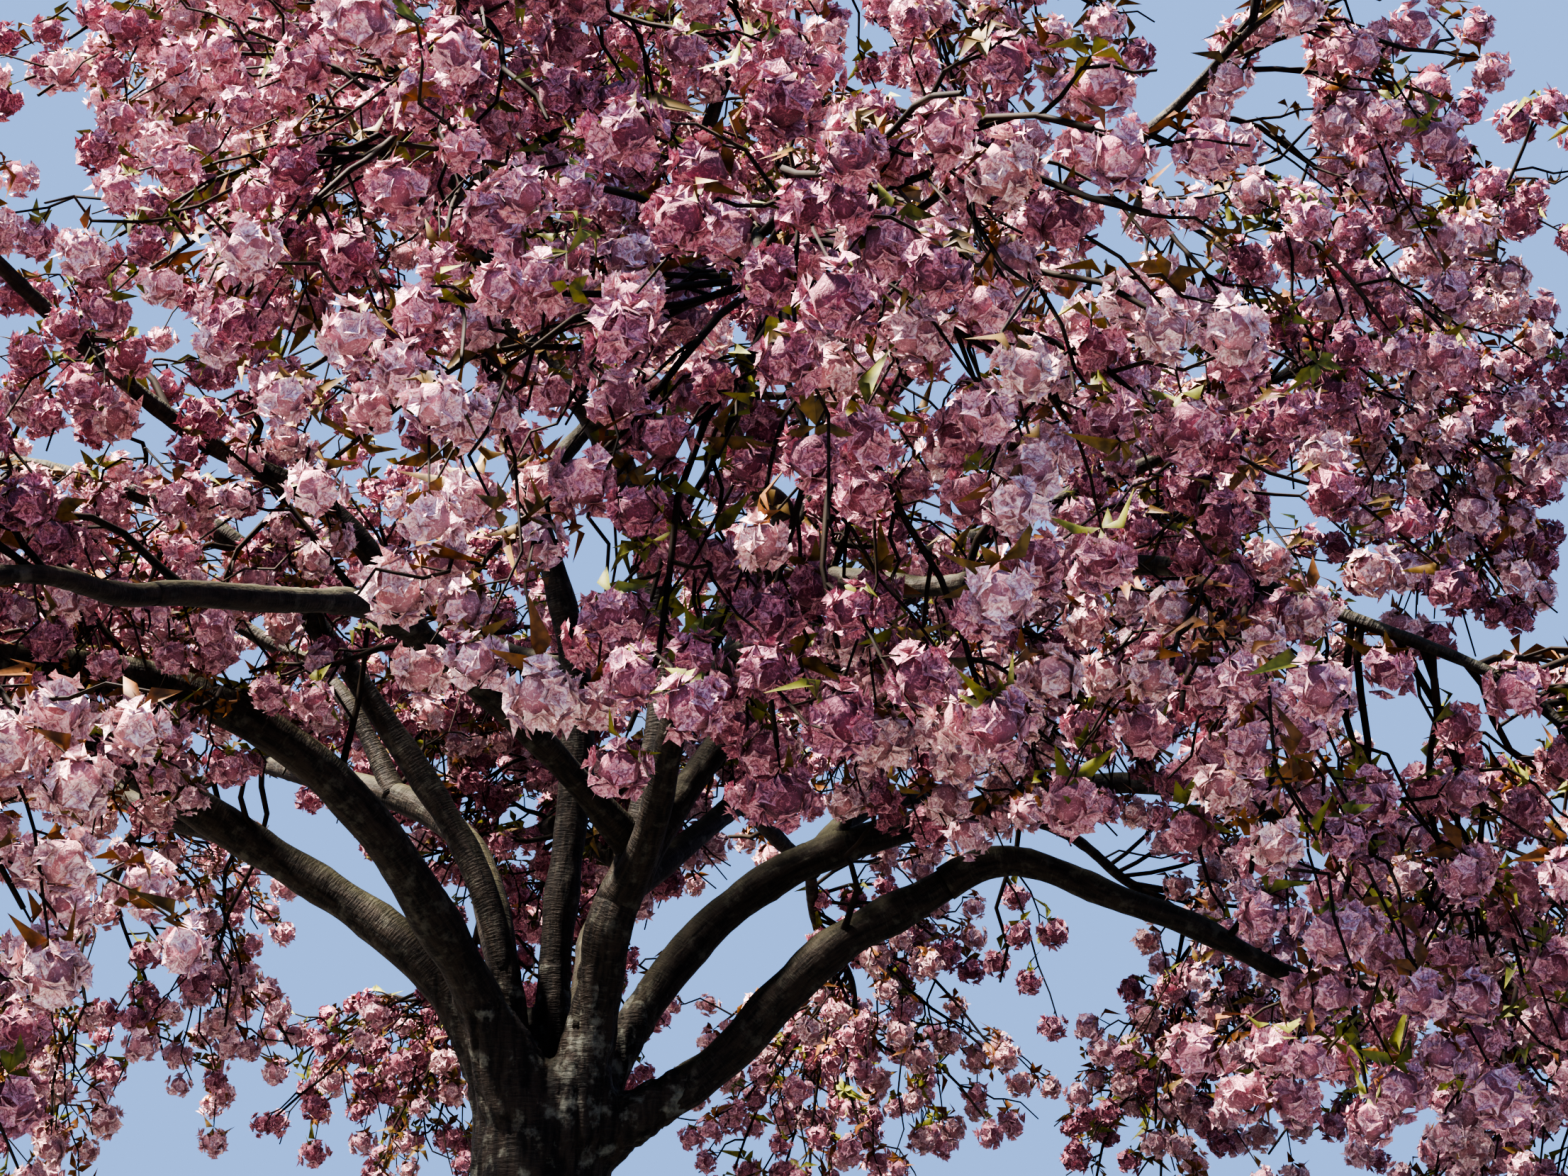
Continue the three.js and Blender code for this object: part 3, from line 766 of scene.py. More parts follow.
@dataclass
class Growth:
    """Grows a mass as its solid does, and then on to finer twigs, spurs, pompoms and young leaves.

    The first twigs take the same draws and the same tests as the solid's, so they lie where those do.
    """

    skeleton: Skeleton
    mass: Mass
    twig_tries: int = 110
    fine_tries: int = 90
    first_share: float = 0.3
    clump_steps: int = 2
    clump_draws: int = 3
    clump_radius: float = 300
    clump_spread: float = 0.2
    clump_nearness: float = 0.82
    mid_share: float = 0.5
    mid_size: float = 0.85
    side_twigs: int = 5
    side_first: float = 0.2
    side_span: float = 0.78
    bare_share: float = 0.3
    side_bare_share: float = 0.15
    spur_step: float = 74
    spur_step_share: tuple[float, float] = (0.85, 0.3)
    spur_turn_spread: float = 50
    spur_opening: float = 60
    spur_length: tuple[float, float] = (18, 34)
    twigs: list[Twig] = field(default_factory=list)
    spurs: list[Spur] = field(default_factory=list)

    def grow(self) -> None:
        """Grows the solid's twigs, then more of them, then side twigs and spurs."""
        numbers = Seeded(MASS_SEED + self.mass.order)
        clumps: Clumps = []
        self.add_clump(numbers, clumps, self.mass.stem.path.points[-1], self.clump_radius)
        k = 0
        while k < self.twig_tries and len(clumps) < self.mass.tier.clumps:
            self.first_twig(numbers, clumps, k)
            k += 1
        numbers = Seeded(FINE_SEED + self.mass.order)
        last = k + self.fine_tries
        while k < last and len(self.twigs) < self.mass.tier.twigs:
            self.first_twig(numbers, None, k)
            k += 1
        for path in [self.mass.stem.fine, *[twig.path for twig in self.twigs]]:
            self.side_growth(numbers, path)

    def clump_fits(self, clumps: Clumps, place: np.ndarray, radius: float) -> bool:
        """Whether a clump of the solid would have room for itself.

        Args:
            clumps: the clumps that are there.
            place: the clump's middle.
            radius: its radius.

        Returns:
            True where it has.
        """
        for other, other_radius in clumps:
            if np.linalg.norm(other - place) < (other_radius + radius) * self.clump_nearness:
                return False
        return self.skeleton.rod_fits(self.mass, place, place, radius)

    def add_clump(self, numbers: Seeded, clumps: Clumps, place: np.ndarray, radius: float) -> None:
        """Takes the draws that a clump of the solid takes, and keeps its place where it fits.

        Args:
            numbers: gives the draws.
            clumps: the clumps that are there, which get this one.
            place: the clump's middle.
            radius: its radius.
        """
        for _ in range(self.clump_draws):
            numbers.draw()
        if self.clump_fits(clumps, place, radius):
            clumps.append((place, radius))

    def first_twig(self, numbers: Seeded, clumps: Clumps | None, k: int) -> None:
        """Grows one twig from the stem, at its full length or shorter, where it fits.

        Args:
            numbers: gives the draws.
            clumps: the solid's clumps so far, or None for a twig that only has to fit itself.
            k: the twig's place in its row.
        """
        stem = self.mass.stem.path
        tier = self.mass.tier
        rule = FIRST_TWIGS
        share = self.first_share + (1 - self.first_share) * (((k + 1) * GOLDEN_SHARE) % 1)
        distance = stem.length * share
        root = stem.point(distance)
        out = rule.leave(stem, distance, k, numbers)
        full = (tier.width + tier.tall) / 2 * numbers.above(*rule.length)
        size = self.clump_radius * numbers.above(1 - self.clump_spread, 2 * self.clump_spread)
        droop = rule.droop[0]
        for shortening in rule.shortenings:
            line = drooping(root, out, full * shortening, droop, self.clump_steps)
            tip = line.points[-1]
            if clumps is None:
                overlap = SEAM_OVERLAP
                tip_fits = self.skeleton.in_space(self.mass, tip, BLOSSOM_ROOM, overlap)
            else:
                overlap = 0
                tip_fits = self.clump_fits(clumps, tip, size)
            if not tip_fits or not self.line_fits(line, rule.radius, overlap):
                continue
            self.twigs.append(rule.grown(root, out, full * shortening, droop, numbers_for(line)))
            if clumps is not None:
                self.add_clump(numbers, clumps, tip, size)
                middle = line.point(line.length * self.mid_share)
                self.add_clump(numbers, clumps, middle, size * self.mid_size)
            return

    def line_fits(self, path: Path, radius: float, overlap: float) -> bool:
        """Whether every step of a line ends in the mass's space and clears the limbs."""
        steps = zip(path.points[:-1], path.points[1:])
        return all(self.skeleton.rod_fits(self.mass, start, end, radius, overlap) for start, end in steps)

    def side_growth(self, numbers: Seeded, path: Path) -> None:
        """Grows side twigs on a twig or the stem, with spurs on each of them and on their bearer.

        Args:
            numbers: gives the draws.
            path: the bearer's line.
        """
        rule = SIDE_TWIGS
        tint = numbers.draw()
        for j in range(self.side_twigs):
            distance = path.length * (self.side_first + self.side_span * (((j + 1) * GOLDEN_SHARE) % 1))
            out = rule.leave(path, distance, j, numbers)
            length = numbers.above(*rule.length)
            droop = numbers.above(*rule.droop)
            root = path.point(distance)
            for shortening in rule.shortenings:
                twig = rule.grown(root, out, length * shortening, droop, numbers)
                if self.line_fits(twig.path, rule.radius, SEAM_OVERLAP):
                    self.twigs.append(twig)
                    self.add_spurs(numbers, twig.path, self.side_bare_share, tint)
                    break
        self.add_spurs(numbers, path, self.bare_share, tint)

    def add_spurs(self, numbers: Seeded, path: Path, first: float, tint: float) -> None:
        """Sets short spurs along a twig, turned by the golden angle, and one at its tip.

        Args:
            numbers: gives the draws.
            path: the twig's line.
            first: the share of the line at its foot that stays bare.
            tint: the tint that the spurs share.
        """
        opening = math.radians(self.spur_opening)
        count = int(path.length * (1 - first) / self.spur_step)
        for j in range(count + 1):
            distance = path.length - j * self.spur_step * numbers.above(*self.spur_step_share)
            if distance < path.length * first:
                break
            around = math.radians(numbers.above(GOLDEN_ANGLE * j, self.spur_turn_spread))
            way = path.way(distance) if j == 0 else opened(path, distance, around, opening)
            foot = path.point(distance)
            tip = foot + way * numbers.above(*self.spur_length)
            spur = Spur(self.mass, foot, tip, tint, numbers.draw())
            if self.skeleton.in_space(self.mass, tip, BLOSSOM_ROOM, SEAM_OVERLAP):
                self.spurs.append(spur)


@dataclass
class LimbShoots:
    """Shoots on the outer part of the limbs, which fill the crown between the masses' own stems."""

    skeleton: Skeleton
    growths: list[Growth]
    first_share: float = 0.3
    step: float = 130

    def grow(self) -> None:
        """Grows shoots on every limb. Each keeps to the space of the mass that it grows into."""
        for order, limb in enumerate(self.skeleton.limbs.values()):
            numbers = Seeded(SHOOT_SEED + order)
            first = self.first_share * limb.path.length
            count = int((limb.path.length - first) / self.step)
            for k in range(count):
                self.shoot(limb, numbers, first + self.step * (k + 0.5), k)

    def shoot(self, limb: Limb, numbers: Seeded, distance: float, k: int) -> None:
        """Grows one shoot with its side twigs, at its full length or shorter, where it fits.

        Args:
            limb: the limb that bears it.
            numbers: gives the draws.
            distance: how far along the limb it leaves.
            k: the shoot's place in its row.
        """
        rule = LIMB_SHOOTS
        distance *= limb.fine.length / limb.path.length
        out = rule.leave(limb.fine, distance, k, numbers)
        length = numbers.above(*rule.length)
        droop = numbers.above(*rule.droop)
        root = limb.fine.point(distance)
        for shortening in rule.shortenings:
            twig = rule.grown(root, out, length * shortening, droop, numbers)
            points = twig.path.points
            nearest = int(np.argmin(((self.skeleton.centres - points[-1]) ** 2).sum(axis=1)))
            growth = self.growths[nearest]
            if not self.skeleton.in_space(growth.mass, points[-1], BLOSSOM_ROOM, SEAM_OVERLAP):
                continue
            rods = zip(points[1:-1], points[2:])
            if all(self.skeleton.room(start, end, limb.name) >= rule.radius for start, end in rods):
                growth.twigs.append(twig)
                growth.side_growth(numbers, twig.path)
                return


@dataclass
class Bloom:
    """Chooses which spurs bear pompoms and leaves, so that the crown fills evenly."""

    skeleton: Skeleton
    spurs: list[Spur]
    pompom_count: int = 5300
    spacings: tuple[float, ...] = (205, 146, 108)
    size: tuple[float, float] = (0.88, 0.36)
    reach: float = 58
    hang: float = 0.8
    bark_room: float = 0.7
    way_share: float = 0.6
    weight_share: float = 0.75
    leafless_share: float = 0.12
    bare_leaf_share: float = 0.16
    bare_leaf_size: tuple[float, float] = (0.75, 0.3)
    leaf_tint_spread: float = 0.35
    leaf_lift: float = 0.6
    spur_radius: float = 2.6
    spur_taper: float = 0.9
    twigs: list[Twig] = field(default_factory=list)
    pompoms: list[Cluster] = field(default_factory=list)
    whorls: list[Cluster] = field(default_factory=list)

    def open(self) -> None:
        """Goes over the spurs in rounds, first with wide and then with closer spacing."""
        numbers = Seeded(BLOOM_SEED)
        taken: dict[tuple[int, int, int], list[np.ndarray]] = {}
        left = sorted(self.spurs, key=lambda spur: spur.rank)
        for spacing in self.spacings:
            left = [spur for spur in left if self.passed_over(spur, taken, spacing, numbers)]
        for spur in left:
            if numbers.draw() < self.bare_leaf_share:
                self.add_spur(spur)
                self.add_whorl(spur, numbers.above(*self.bare_leaf_size), numbers)

    def passed_over(self, spur: Spur, taken: dict, spacing: float, numbers: Seeded) -> bool:
        """Hangs a pompom on a spur where there is room for it.

        Args:
            spur: the spur.
            taken: the middles of the pompoms so far, by the cell of space that they lie in.
            spacing: the least distance between two pompoms of middling size.
            numbers: gives the draws.

        Returns:
            True where the spur waits for the next round. A spur that has no room at all doesn't.
        """
        cell = max(self.spacings)
        least, spread = self.size
        size = least + spread * ((spur.rank * SIZE_SHUFFLE) % 1)
        way = unit(spur.way * self.way_share - UP * self.weight_share)
        middle = spur.tip + way * self.reach * self.hang * size
        if len(self.pompoms) >= self.pompom_count or self.crowded(taken, cell, middle, spacing * size):
            return True
        if not self.skeleton.in_space(spur.mass, middle, self.reach * size, SEAM_OVERLAP):
            return False
        if self.skeleton.room(middle, middle, spur.mass.name) >= self.reach * self.bark_room:
            taken.setdefault(tuple(np.floor(middle / cell).astype(int)), []).append(middle)
            self.bear(spur, way, size, numbers)
        return False

    def crowded(self, taken: dict, cell: float, middle: np.ndarray, spacing: float) -> bool:
        """Whether another pompom hangs nearer than the spacing.

        Args:
            taken: the middles of the pompoms so far, by cell.
            cell: the width of a cell.
            middle: the middle of the pompom in question.
            spacing: the least distance.

        Returns:
            True where one does.
        """
        key = np.floor(middle / cell).astype(int)
        for offset in np.ndindex(3, 3, 3):
            near = taken.get(tuple(key + np.array(offset) - 1))
            if near and min(((other - middle) ** 2).sum() for other in near) < spacing * spacing:
                return True
        return False

    def bear(self, spur: Spur, way: np.ndarray, size: float, numbers: Seeded) -> None:
        """Hangs a pompom on a spur, with a whorl of leaves on top of most.

        Args:
            spur: the spur.
            way: the way that the pompom hangs.
            size: its size, 1 for a middling one.
            numbers: gives the draws.
        """
        self.add_spur(spur)
        self.pompoms.append(Cluster(spur.tip, way, size, int(spur.rank * POMPOM_SHUFFLE), spur.tint))
        if numbers.draw() > self.leafless_share:
            self.add_whorl(spur, size, numbers)

    def add_whorl(self, spur: Spur, size: float, numbers: Seeded) -> None:
        """Puts a whorl of leaves on the tip of a spur.

        Args:
            spur: the spur.
            size: the whorl's size, 1 for a middling one.
            numbers: gives the draw.
        """
        tint = (spur.tint + self.leaf_tint_spread * numbers.draw()) % 1
        way = unit(spur.way + UP * self.leaf_lift)
        self.whorls.append(Cluster(spur.tip, way, size, int(spur.rank * WHORL_SHUFFLE), tint))

    def add_spur(self, spur: Spur) -> None:
        """Draws the short stout spur itself."""
        line = Path([spur.foot, spur.tip], spur.way, spur.way)
        self.twigs.append(Twig(line, self.spur_radius, self.spur_radius * self.spur_taper))


def linked(name: str, data: ID) -> Object:
    """Makes an object of a mesh, a light or a camera, linked to the scene.

    Args:
        name: the object's name.
        data: what it holds.

    Returns:
        The object.
    """
    piece = bpy.data.objects.new(name, data)
    bpy.context.scene.collection.objects.link(piece)
    return piece


def mesh_object(name: str, vertices: np.ndarray, faces: Iterable, smooth: bool = True) -> Object:
    """Makes a mesh object from corners in metres.

    Args:
        name: the object's name.
        vertices: an array of corners.
        faces: the corners of each face.
        smooth: whether it is shaded smooth.

    Returns:
        The object, linked to the scene.
    """
    mesh = bpy.data.meshes.new(name)
    mesh.from_pydata(np.asarray(vertices, float).tolist(), [], [tuple(map(int, face)) for face in faces])
    mesh.shade_smooth() if smooth else mesh.shade_flat()
    return linked(name, mesh)


def plain_copy(source: Object, name: str) -> Object:
    """Turns an object with modifiers into a plain mesh object, and removes the source.

    Args:
        source: the object with live modifiers.
        name: the name of the plain object.

    Returns:
        The plain object, linked to the scene.
    """
    graph = bpy.context.evaluated_depsgraph_get()
    mesh = bpy.data.meshes.new_from_object(source.evaluated_get(graph))
    mesh.name = name
    bpy.data.objects.remove(source)
    return linked(name, mesh)


def add_field(mesh: Mesh, name: str, kind: str, domain: str, values: Iterable) -> None:
    """Stores one value for each point or face of a mesh.

    Args:
        mesh: the mesh.
        name: the field's name.
        kind: its type.
        domain: POINT or FACE.
        values: the values in order.
    """
    attribute = mesh.attributes.new(name, kind, domain)
    slot = "vector" if kind == "FLOAT_VECTOR" else "value"
    attribute.data.foreach_set(slot, np.asarray(values).ravel())


def socket_of(group: NodeTree, name: str) -> str:
    """The identifier of a group's input, found by its name."""
    return next(item.identifier for item in group.interface.items_tree if item.name == name)


def run_nodes(piece: Object, group: NodeTree, values: dict, name: str) -> Object:
    """Runs a geometry node group on an object and keeps the result as a plain mesh.

    Args:
        piece: the object that feeds the group.
        group: the geometry node group.
        values: a value for each named input.
        name: the name of the plain object.

    Returns:
        The plain object with no modifier.
    """
    modifier = piece.modifiers.new("nodes", "NODES")
    modifier.node_group = group
    for key, value in values.items():
        modifier[socket_of(group, key)] = value
    made = plain_copy(piece, name)
    for attribute in list(made.data.attributes):
        if attribute.name in ("thickness", *CLUSTER_FIELDS):
            made.data.attributes.remove(attribute)
    return made


def new_group(name: str, inputs: dict[str, str]) -> tuple[NodeTree, Node]:
    """Starts a geometry node group.

    Args:
        name: the group's name.
        inputs: the socket type of each named input.

    Returns:
        The group and its input node.
    """
    group = bpy.data.node_groups.new(name, "GeometryNodeTree")
    group.interface.new_socket("Geometry", in_out="INPUT", socket_type="NodeSocketGeometry")
    for key, kind in inputs.items():
        group.interface.new_socket(key, in_out="INPUT", socket_type=kind)
    group.interface.new_socket("Result", in_out="OUTPUT", socket_type="NodeSocketGeometry")
    return group, add_node(group, "NodeGroupInput")


def twig_nodes() -> NodeTree:
    """Makes the group that turns lines with a thickness into closed tubes.

    Returns:
        The group, with the inputs Sides and Bark.
    """
    group, given = new_group("twig_tubes", {"Sides": "NodeSocketInt", "Bark": "NodeSocketMaterial"})
    curve = add_node(group, "GeometryNodeMeshToCurve", {"Mesh": given.outputs["Geometry"]})
    circle = {"Resolution": given.outputs["Sides"], "Radius": 1}
    ring = add_node(group, "GeometryNodeCurvePrimitiveCircle", circle)
    thickness = add_node(group, "GeometryNodeInputNamedAttribute", {"Name": "thickness"}, data_type="FLOAT")
    swept = {
        "Curve": curve.outputs["Curve"],
        "Profile Curve": ring.outputs["Curve"],
        "Scale": thickness.outputs["Attribute"],
        "Fill Caps": True,
    }
    tube = add_node(group, "GeometryNodeCurveToMesh", swept)
    smooth = add_node(group, "GeometryNodeSetShadeSmooth", {"Geometry": tube.outputs["Mesh"]})
    real = add_node(group, "GeometryNodeRealizeInstances", {"Geometry": smooth.outputs["Geometry"]})
    dressed = {"Geometry": real.outputs["Geometry"], "Material": given.outputs["Bark"]}
    skin = add_node(group, "GeometryNodeSetMaterial", dressed)
    add_node(group, "NodeGroupOutput", {"Result": skin.outputs["Geometry"]})
    return group


def cluster_nodes(name: str) -> NodeTree:
    """Makes the group that sets one of several templates on each point and spins it round its own axis.

    Args:
        name: the group's name.

    Returns:
        The group. A face's tone chooses among the materials Outer, Inner and Core.
    """
    inputs = {"Templates": "NodeSocketCollection", "Seed": "NodeSocketInt"}
    inputs |= dict.fromkeys(("Outer", "Inner", "Core"), "NodeSocketMaterial")
    group, given = new_group(name, inputs)
    offered = {"Collection": given.outputs["Templates"], "Separate Children": True, "Reset Children": True}
    templates = add_node(group, "GeometryNodeCollectionInfo", offered)
    fields = {}
    for key, kind in CLUSTER_FIELDS.items():
        source = add_node(group, "GeometryNodeInputNamedAttribute", {"Name": key}, data_type=kind)
        fields[key] = source.outputs["Attribute"]
    drawn = {"Seed": given.outputs["Seed"], "Max": 1.0}
    spin = add_node(group, "FunctionNodeRandomValue", drawn, data_type="FLOAT")
    turned = add_node(group, "ShaderNodeMath", {0: spin.outputs[1], 1: math.tau}, operation="MULTIPLY")
    around = add_node(group, "ShaderNodeCombineXYZ", {"Z": turned.outputs[0]})
    own = add_node(group, "FunctionNodeEulerToRotation", {"Euler": around.outputs["Vector"]})
    hung = add_node(group, "FunctionNodeEulerToRotation", {"Euler": fields["turn"]})
    both = {"Rotation": hung.outputs["Rotation"], "Rotate By": own.outputs["Rotation"]}
    rotation = add_node(group, "FunctionNodeRotateRotation", both, rotation_space="LOCAL")
    spots = {
        "Points": given.outputs["Geometry"],
        "Instance": templates.outputs["Instances"],
        "Pick Instance": True,
        "Instance Index": fields["shape"],
        "Rotation": rotation.outputs["Rotation"],
        "Scale": fields["size"],
    }
    placed = add_node(group, "GeometryNodeInstanceOnPoints", spots)
    real = add_node(group, "GeometryNodeRealizeInstances", {"Geometry": placed.outputs["Instances"]})
    outer = {"Geometry": real.outputs["Geometry"], "Material": given.outputs["Outer"]}
    dressed = add_node(group, "GeometryNodeSetMaterial", outer)
    for level, key in ((0.5, "Inner"), (1.5, "Core")):
        test = {"A": fields["tone"], "B": level}
        marked = add_node(group, "FunctionNodeCompare", test, data_type="FLOAT", operation="GREATER_THAN")
        chosen = {
            "Geometry": dressed.outputs["Geometry"],
            "Selection": marked.outputs["Result"],
            "Material": given.outputs[key],
        }
        dressed = add_node(group, "GeometryNodeSetMaterial", chosen)
    add_node(group, "NodeGroupOutput", {"Result": dressed.outputs["Geometry"]})
    return group


def new_material(name: str) -> tuple[Material, NodeTree, Node]:
    """Starts a material.

    Args:
        name: the material's name.

    Returns:
        The material, its node tree and its surface shader.
    """
    material = bpy.data.materials.new(name)
    material.use_nodes = True
    return material, material.node_tree, material.node_tree.nodes["Principled BSDF"]


def set_values(shader: Node, values: dict) -> None:
    """Sets inputs of a shader, each by its name."""
    for key, value in values.items():
        shader.inputs[key].default_value = value


def set_stops(ramp: Node, stops: dict[float, str]) -> None:
    """Gives a colour ramp its stops.

    Args:
        ramp: the ramp's node.
        stops: the hex colour at each level, from the lowest level to the highest.
    """
    elements = ramp.color_ramp.elements
    levels = list(stops)
    for element, level in ((elements[0], levels[0]), (elements[1], levels[-1])):
        element.position = level
        element.color = linear(stops[level])
    for level in levels[1:-1]:
        elements.new(level).color = linear(stops[level])


@dataclass(frozen=True)
class PetalFinish:
    """Crowded double petals, matt and velvety. Pale fringes curl round rosy folds, and the dark gaps between
    them are painted shade.
    """

    name: str
    pale: str
    rosy: str
    deep: str
    shade_level: float = 0.5
    deep_below: float = 0.14
    pale_above: float = 0.13
    fringe_mm: float = 11
    fringe_roughness: float = 0.6
    curl: float = 1.6
    relief_mm: float = 6
    roughness: float = 0.65
    sheen: float = 0.2
    shine: float = 0.25

    def material(self) -> Material:
        """Makes the material, from curled noise like the fringes of crowded petals.

        Returns:
            The material.
        """
        # A real ruffle is 3 to 5 mm wide. It is drawn coarser, so that it shows from several metres away.
        material, tree, shader = new_material(self.name)
        place = add_node(tree, "ShaderNodeTexCoord").outputs["Object"]
        pattern = {
            "Vector": place,
            "Scale": MM_IN_METRE / self.fringe_mm,
            "Detail": 3,
            "Roughness": self.fringe_roughness,
            "Distortion": self.curl,
        }
        fringe = add_node(tree, "ShaderNodeTexNoise", pattern).outputs["Fac"]
        # The lowest stop paints the shade in the gaps between crowded petals; the paler stops are the petals'
        # own pink.
        low, high = self.shade_level - self.deep_below, self.shade_level + self.pale_above
        tint = add_node(tree, "ShaderNodeValToRGB", {"Fac": fringe})
        set_stops(tint, {low: self.deep, self.shade_level: self.rosy, high: self.pale})
        tree.links.new(tint.outputs["Color"], shader.inputs["Base Color"])
        relief = {"Strength": 1.0, "Distance": self.relief_mm * METRES, "Height": fringe}
        bump = add_node(tree, "ShaderNodeBump", relief)
        tree.links.new(bump.outputs["Normal"], shader.inputs["Normal"])
        values = {"Roughness": self.roughness, "Sheen Weight": self.sheen, "Specular IOR Level": self.shine}
        set_values(shader, values)
        return material


@dataclass(frozen=True)
class LeafFinish:
    """Young cherry leaves, slightly glossy and mottled with a darker tint. Young bark takes it too."""

    name: str
    main: str
    shade: str
    mottle_mm: float = 30
    roughness: float = 0.58
    shade_level: float = 0.36
    main_level: float = 0.6
    shine: float = 0.3

    def material(self) -> Material:
        """Makes the material, with soft patches of the darker tint.

        Returns:
            The material.
        """
        material, tree, shader = new_material(self.name)
        place = add_node(tree, "ShaderNodeTexCoord").outputs["Object"]
        pattern = {"Vector": place, "Scale": MM_IN_METRE / self.mottle_mm, "Detail": 3}
        mottle = add_node(tree, "ShaderNodeTexNoise", pattern).outputs["Fac"]
        tint = add_node(tree, "ShaderNodeValToRGB", {"Fac": mottle})
        set_stops(tint, {self.shade_level: self.shade, self.main_level: self.main})
        tree.links.new(tint.outputs["Color"], shader.inputs["Base Color"])
        set_values(shader, {"Roughness": self.roughness, "Specular IOR Level": self.shine})
        return material


@dataclass(frozen=True)
class BarkFinish:
    """Cherry bark. It is satin and grey-brown, with bands of lenticels, pale lichen and moss on top."""

    name: str
    main: str
    dark: str
    lichen: str
    moss: str
    field_name: str = ""
    crack_mm: tuple[float, float] = (26, 150)
    crack_levels: tuple[float, float] = (0.4, 0.58)
    band_mm: tuple[float, float] = (46, 9)
    band_levels: tuple[float, float] = (0.56, 0.7)
    band_share: float = 0.5
    lichen_mm: float = 70
    lichen_levels: tuple[float, float] = (0.54, 0.66)
    lichen_share: float = 0.5
    moss_levels: tuple[float, float] = (0.25, 0.95)
    moss_share: float = 0.6
    bump_mm: float = 5
    bump_strength: float = 0.7
    roughness: tuple[float, float] = (0.88, 0.62)

    def material(self) -> Material:
        """Makes the material. Cracks run along the limb and lenticels across it.

        Returns:
            The material.
        """
        material, tree, shader = new_material(self.name)
        if self.field_name:
            place = add_node(tree, "ShaderNodeAttribute", attribute_name=self.field_name).outputs["Vector"]
        else:
            place = add_node(tree, "ShaderNodeTexCoord").outputs["Object"]
        cracks, bands = self.grain(tree, place)
        speckle = {"Vector": place, "Scale": MM_IN_METRE / self.lichen_mm, "Detail": 5, "Roughness": 0.65}
        spots = add_node(tree, "ShaderNodeTexNoise", speckle).outputs["Fac"]
        dark_level, main_level = self.crack_levels
        bare = add_node(tree, "ShaderNodeValToRGB", {"Fac": cracks})
        set_stops(bare, {dark_level: self.dark, main_level: self.main})
        colour = bare.outputs["Color"]
        for cover, tint in self.covers(tree, bands, spots):
            layer = {"Fac": cover, "Color1": colour, "Color2": linear(tint)}
            colour = add_node(tree, "ShaderNodeMixRGB", layer).outputs["Color"]
        tree.links.new(colour, shader.inputs["Base Color"])
        relief = add_node(tree, "ShaderNodeMath", {0: cracks, 1: bands}, operation="ADD")
        depth = self.bump_mm * METRES
        pressed = {"Strength": self.bump_strength, "Distance": depth, "Height": relief.outputs[0]}
        bump = add_node(tree, "ShaderNodeBump", pressed)
        tree.links.new(bump.outputs["Normal"], shader.inputs["Normal"])
        in_cracks, between = self.roughness
        smoothed = {"Value": cracks, "To Min": in_cracks, "To Max": between}
        rough = add_node(tree, "ShaderNodeMapRange", smoothed)
        tree.links.new(rough.outputs[0], shader.inputs["Roughness"])
        return material

    def grain(self, tree: NodeTree, place: NodeSocket) -> list[NodeSocket]:
        """Makes the stretched patterns of the bark.

        Args:
            tree: the material's node tree.
            place: the socket that gives the place on the bark.

        Returns:
            The sockets that give the cracks and the bands.
        """
        patterns = []
        for (wide, long), detail, roughness in ((self.crack_mm, 4, 0.62), (self.band_mm, 3, 0.6)):
            scale = (MM_IN_METRE / wide, MM_IN_METRE / wide, MM_IN_METRE / long)
            stretched = add_node(tree, "ShaderNodeMapping", {"Vector": place, "Scale": scale})
            noise = {"Vector": stretched.outputs[0], "Scale": 1, "Detail": detail, "Roughness": roughness}
            patterns.append(add_node(tree, "ShaderNodeTexNoise", noise).outputs["Fac"])
        return patterns

    def covers(self, tree: NodeTree, bands: NodeSocket, spots: NodeSocket) -> list:
        """Makes what lies over the bark: bands of lenticels, spots of lichen, and moss on what faces up.

        Args:
            tree: the material's node tree.
            bands: the socket that gives the bands.
            spots: the socket that gives the spots.

        Returns:
            For each cover the socket that gives how thick it lies, and its hex colour.
        """
        surface = add_node(tree, "ShaderNodeNewGeometry")
        facing = add_node(tree, "ShaderNodeSeparateXYZ", {"Vector": surface.outputs["Normal"]})
        ranges = (
            (bands, self.band_levels, self.band_share),
            (spots, self.lichen_levels, self.lichen_share),
            (facing.outputs["Z"], self.moss_levels, self.moss_share),
        )
        thick = []
        for source, (low, high), share in ranges:
            inputs = {"Value": source, "From Min": low, "From Max": high, "To Max": share}
            thick.append(add_node(tree, "ShaderNodeMapRange", inputs).outputs[0])
        broken = add_node(tree, "ShaderNodeMath", {0: thick[2], 1: spots}, operation="MULTIPLY")
        return [(thick[0], self.lichen), (thick[1], self.lichen), (broken.outputs[0], self.moss)]


class BlossomTint(Enum):
    """The tints of the blossom, dealt out by spray: pale fringe, rosy fold, and the painted shade of the gaps
    between petals.
    """

    BLUSH = ("fbecee", "edc6cd", "bb8590")
    SHELL = ("fbebe7", "eac3c3", "b78087")
    ROSE = ("f6d7dd", "e2abb7", "ab6f7e")
    MID_PINK = ("efc7d0", "d699a7", "985b6c")
    DEEP_ROSE = ("e6b4c0", "c68292", "824a5c")


class LeafTint(Enum):
    """The tints of the young leaves, dealt out by spray: main colour and shade."""

    BRONZE = ("806837", "4d3d22")
    COPPER = ("8f6236", "593b22")
    OLIVE = ("8a8d40", "54582c")


